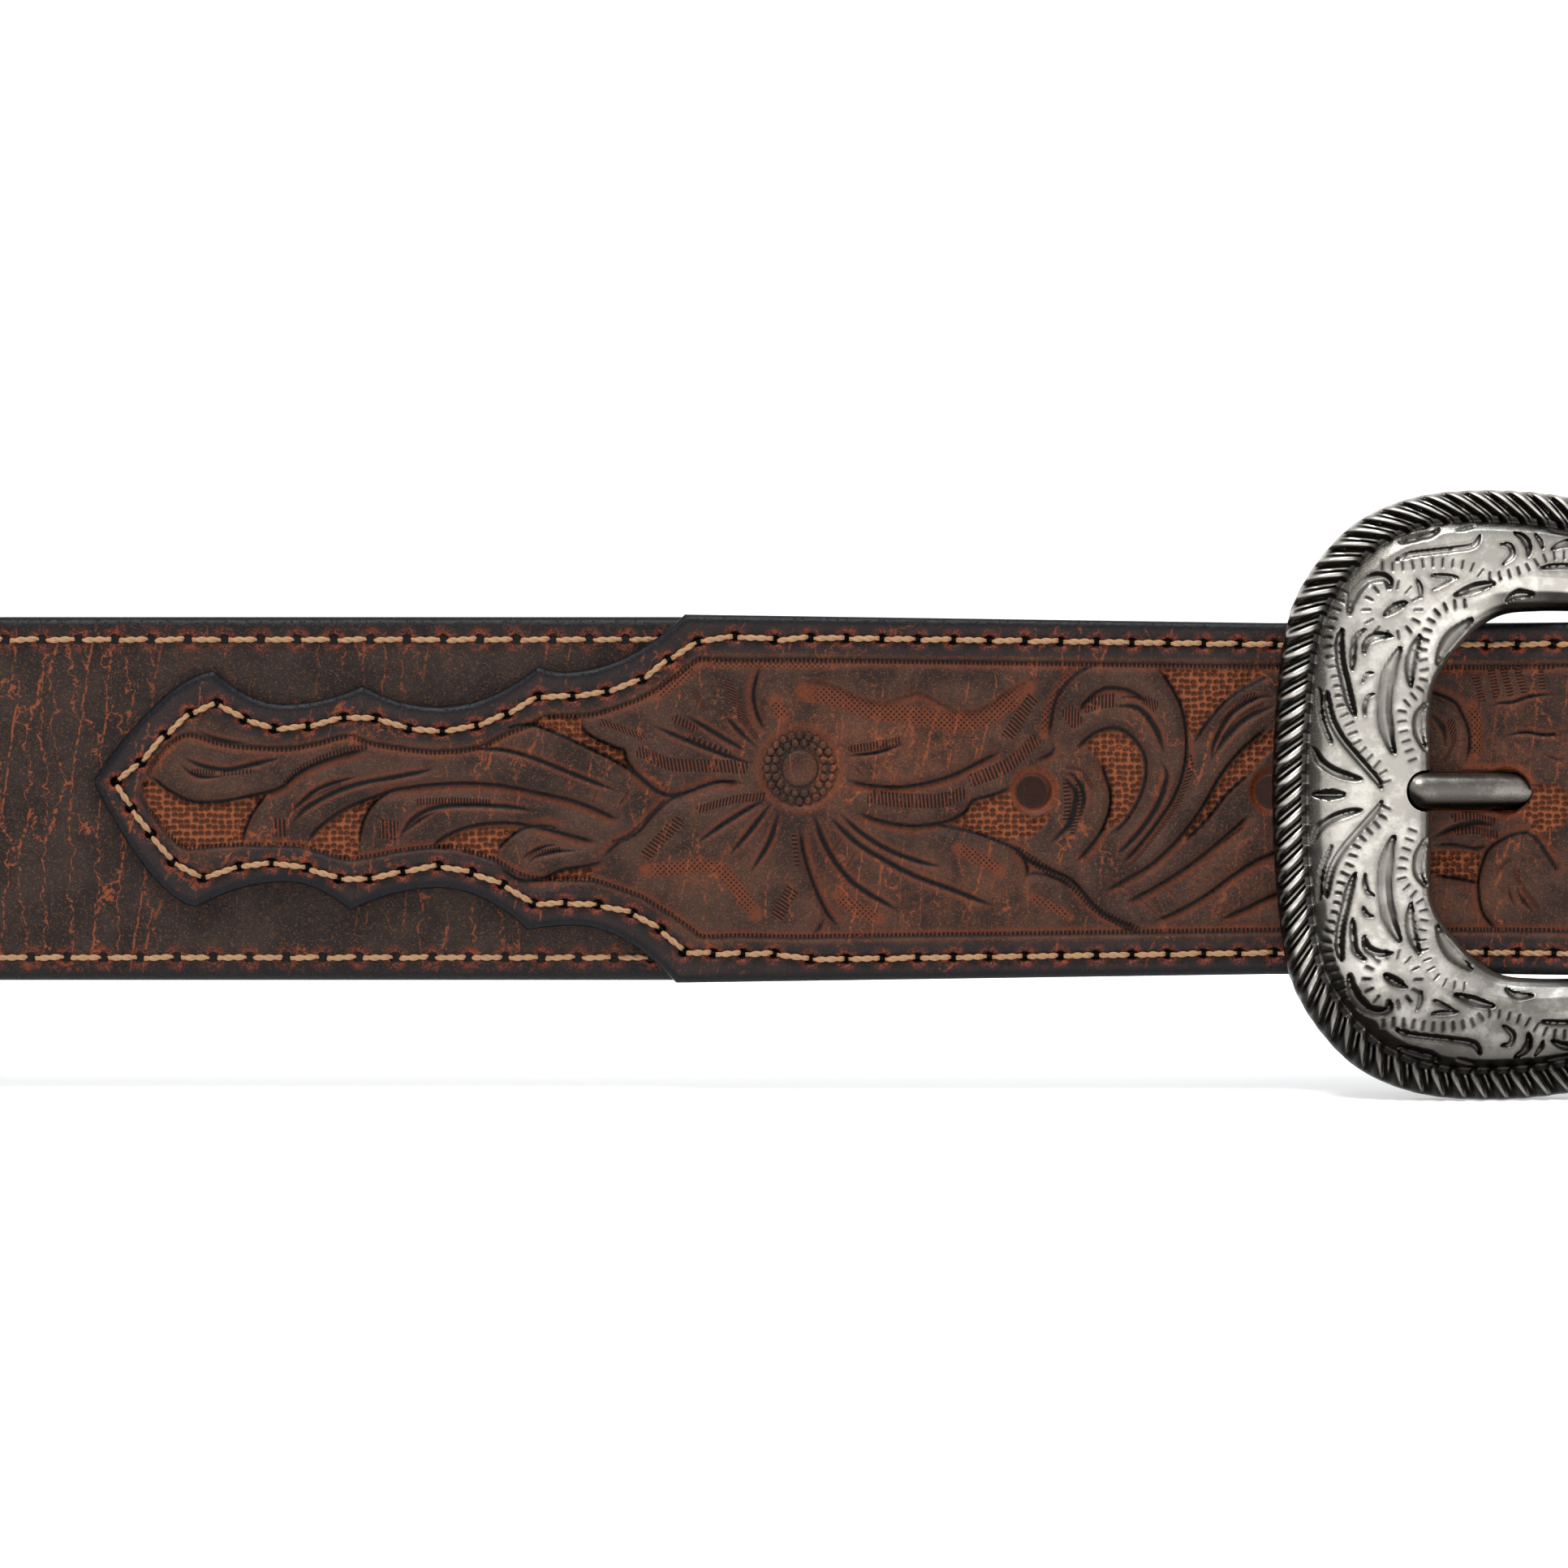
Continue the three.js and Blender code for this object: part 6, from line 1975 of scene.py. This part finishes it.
# Holes of the overlay's two rows along its scallops, as run and height, from the point
UPPER_STITCHES = [
    (-122.1, 1.8), (-119.5, 3.8), (-116.9, 6.7), (-114.2, 9.0), (-111.4, 10.1), (-108.5, 8.4),
    (-105.4, 7.4), (-101.8, 7.6), (-98.0, 8.6), (-94.6, 8.5), (-91.1, 7.4), (-87.6, 7.1),
    (-84.0, 7.7), (-80.8, 8.9), (-77.4, 10.8), (-73.8, 10.8), (-70.2, 11.3), (-66.5, 12.6),
    (-63.6, 14.7), (-60.5, 16.6), (-56.6, 17.2), (-52.4, 16.8),
]
LOWER_STITCHES = [
    (-122.1, 1.8), (-120.5, -1.0), (-118.4, -3.7), (-116.1, -6.7), (-112.9, -8.4), (-109.1, -7.2),
    (-105.7, -6.8), (-101.9, -7.3), (-98.5, -8.5), (-95.3, -8.5), (-91.8, -7.7), (-88.0, -7.1),
    (-84.5, -7.8), (-81.2, -9.1), (-77.9, -11.1), (-74.6, -11.1), (-71.1, -11.2), (-67.5, -12.1),
    (-64.5, -13.8), (-62.0, -16.2), (-58.9, -16.4), (-55.8, -16.4), (-52.4, -16.4),
]


def overlay_rows():
    """Stitch holes of both rows: listed round the scallops, then evenly to the tip."""
    rows = []
    for side, start in ((1, UPPER_STITCHES), (-1, LOWER_STITCHES)):
        runs = np.arange(start[-1][0] + OVERLAY_PITCH, TIP_RUN - 9, OVERLAY_PITCH)
        edge = width_at(runs) / 2 - ROW_INSET + OVERLAY_PROUD
        even = [(run, side * height) for run, height in zip(runs, edge)]
        rows.append(np.array(start + even))
    return rows


def strap_rows(low, high):
    """Stitch holes of the strap's own rows, which end under the overlay."""
    rows = []
    for side, phase in ((1, TOP_PHASE), (-1, BOTTOM_PHASE)):
        first = math.ceil((low - phase) / STRAP_PITCH)
        last = math.floor((high - phase) / STRAP_PITCH)
        runs = phase + STRAP_PITCH * np.arange(first, last + 1)
        rows.append(np.column_stack([runs, np.full(len(runs), side * STRAP_ROW)]))
    return rows


def stitch_rings(start, end, level, turns_at, plies, stations, sides, rng, side=1):
    """Plies of one stitch, from the depth of one hole over the leather to the next hole."""
    start, end = np.asarray(start), np.asarray(end)
    way = (end - start) / np.linalg.norm(end - start)
    lift = rng.uniform(0.9, 1.15)
    a = start + way * HOLE_SHARE * rng.uniform(0.8, 1.1)
    b = end - way * HOLE_SHARE * rng.uniform(0.5, 0.9)
    share = np.linspace(0, 1, stations)
    middle = a + (b - a) * share[:, None]
    lean = rng.uniform(0.02, 0.26)
    sideways = np.array([-way[1], way[0]]) * lean
    middle = middle + sideways * (share[:, None] - 0.5)
    arch = 1 - np.abs(2 * share - 1) ** 5
    height = (arch * 0.56 - 0.34) * lift
    girth = 0.62 + 0.38 * np.sqrt(np.clip(np.sin(np.pi * np.clip(share, 0.02, 0.98)), 0, 1))
    length = np.linalg.norm(b - a)
    turn = turns_at + 2 * math.pi * share * length / THREAD_TWIST
    across = np.array([-way[1], way[0]])
    rings = []
    for ply in range(plies):
        angle = turn + 2 * math.pi * ply / plies
        offset = PLY_OFFSET * girth
        place = middle + across * (np.cos(angle) * offset)[:, None]
        raised = height + np.sin(angle) * offset
        spin = np.linspace(0, 2 * math.pi, sides, endpoint=False)
        radius = THREAD_RADIUS * girth
        around = across * (np.cos(spin)[None, :, None] * radius[:, None, None])
        run_z = place[:, None, :] + around
        out = level + side * (raised[:, None] + np.sin(spin)[None, :] * radius[:, None])
        rings.append(on_strap(run_z[..., 0], out, run_z[..., 1])[:, ::-side])
    return rings


def make_stitches(name, rows, level, material, plies=2, stations=14, sides=8, side=1, seed=1):
    rng = np.random.default_rng(seed)
    points, faces, strand, total = [], [], [], 0
    for row in rows:
        for start, end in zip(row[:-1], row[1:]):
            turns_at = rng.uniform(0, 2 * math.pi)
            for rings in stitch_rings(start, end, level, turns_at, plies, stations, sides, rng, side):
                tube_points, tube_faces = capped_tube(rings)
                points.append(tube_points)
                faces.append([group + total for group in tube_faces])
                strand.append(np.full(len(tube_points), rng.uniform(0, 1)))
                total += len(tube_points)
    quads = np.vstack([group[0] for group in faces])
    caps = np.vstack([group[1] for group in faces])
    every = np.vstack(points)
    place = np.column_stack([every[:, 0] - FRAME_LEFT, every[:, 2], every[:, 1]])
    attributes = {"place": place, "strand": np.concatenate(strand)}
    return finish_piece(make_mesh(name, every, [quads, caps], material, attributes), "tooled_leather")


def make_all_stitches(material):
    outer = STRAP_THICKNESS / 2
    upper, lower = overlay_rows()
    make_stitches("overlay_stitches", [upper, lower], OVERLAY_FRONT, material, seed=3)
    front = strap_rows(BEND_RUN - 20, UNDER_OVERLAY)
    make_stitches("front_stitches", front, outer, material, seed=5)
    rear = strap_rows(LOOP_START - 30, BEND_RUN - 16)
    make_stitches("rear_stitches", rear, outer, material, 2, 7, 6, seed=7)
    inner = strap_rows(LOOP_START - 20, UNDER_OVERLAY)
    make_stitches("inner_stitches", inner, -outer, material, 2, 6, 5, side=-1, seed=9)


# Stage


def make_stage():
    """A round pale floor that curves up into a low wall all about, wider than any view."""
    flat_radius, wall_radius, wall_height, rounding = 3.2, 5.0, 3.0, 1.8
    profile = [(0, 0), (flat_radius * 0.3, 0), (flat_radius, 0)]
    for turn in np.linspace(0, math.pi / 2, 16)[1:]:
        profile.append((flat_radius + rounding * math.sin(turn), rounding * (1 - math.cos(turn))))
    profile.append((wall_radius, wall_height))
    around = 96
    turns = np.linspace(0, 2 * math.pi, around, endpoint=False)
    points = [
        (radius * math.cos(t), radius * math.sin(t), height)
        for radius, height in profile[1:] for t in turns
    ]
    points.append((0, 0, 0))
    faces = []
    for ring in range(len(profile) - 2):
        for corner in range(around):
            beside = (corner + 1) % around
            here = ring * around
            faces.append((here + corner, here + around + corner, here + around + beside, here + beside))
    for corner in range(around):
        faces.append((corner, (corner + 1) % around, len(points) - 1))
    mesh = bpy.data.meshes.new("floor")
    mesh.from_pydata(points, [], faces)
    paper = Finish("floor_paper")
    paper.shader.inputs["Emission Color"].default_value = (1, 1, 1, 1)
    paper.shader.inputs["Emission Strength"].default_value = PAPER_GLOW
    mesh.materials.append(paper.finish(PAPER, 0.9))
    floor = bpy.data.objects.new("floor", mesh)
    bpy.context.scene.collection.objects.link(floor)
    mesh.polygons.foreach_set("use_smooth", np.ones(len(mesh.polygons), bool))


def make_light(name, place, target, size, power, color=(1, 1, 1)):
    data = bpy.data.lights.new(name, "AREA")
    data.shape = "RECTANGLE"
    data.size, data.size_y = size
    data.energy = power
    data.color = color
    light = bpy.data.objects.new(name, data)
    light.location = place
    light.rotation_euler = (Vector(target) - Vector(place)).to_track_quat("-Z", "Y").to_euler()
    bpy.context.scene.collection.objects.link(light)


def make_lights():
    world = bpy.data.worlds.new("room")
    world.use_nodes = True
    background = world.node_tree.nodes["Background"]
    background.inputs["Color"].default_value = (1, 1, 1, 1)
    background.inputs["Strength"].default_value = WORLD_LIGHT
    bpy.context.scene.world = world
    make_light("key", (-0.25, -0.5, 1.1), (0, -0.09, 0.03), (0.5, 0.3), 12)
    make_light("top", (0.2, -0.3, 1.2), (0, -0.05, 0.03), (1.0, 0.5), 7, (0.86, 0.93, 1))


def make_camera():
    """A long lens square to the strap's face, framed as the photograph is."""
    data = bpy.data.cameras.new("camera")
    frame_size = PHOTO_SIZE / PHOTO_SCALE
    data.sensor_width = SENSOR_WIDTH
    data.lens = SENSOR_WIDTH * CAMERA_DISTANCE / frame_size
    data.clip_start, data.clip_end = 0.01, 100
    camera = bpy.data.objects.new("camera", data)
    x = FRAME_LEFT + (PHOTO_SIZE / 2 - BUCKLE_LEFT_PIXEL) / PHOTO_SCALE
    z = (STRAP_MIDDLE_PIXEL - PHOTO_SIZE / 2) / PHOTO_SCALE
    face = -OVERLAY_LIFT
    place, target = world_vector(x, face - CAMERA_DISTANCE, z), world_vector(x, face, z)
    camera.location = place
    camera.rotation_euler = (target - place).to_track_quat("-Z", "Y").to_euler()
    bpy.context.scene.collection.objects.link(camera)
    bpy.context.scene.camera = camera
    bpy.context.scene.view_settings.view_transform = "Standard"


def main():
    make_camera()
    make_stage()
    make_lights()
    dark = leather_finish("dark_leather", *STRAP_COLORS, 0.3)
    tooled = leather_finish("antiqued_leather", *TOOLED_COLORS, 0.55)
    silver = silver_finish("antique_silver", *SILVER_COLORS, 0.26)
    bright = silver_finish("rubbed_silver", *PRONG_COLORS, 0.24)
    thread = thread_finish()
    make_strap(dark)
    make_overlay(tooled)
    make_plate(silver)
    make_heel_bar(silver)
    make_prong(bright)
    make_keeper(dark)
    make_all_stitches(thread)


main()
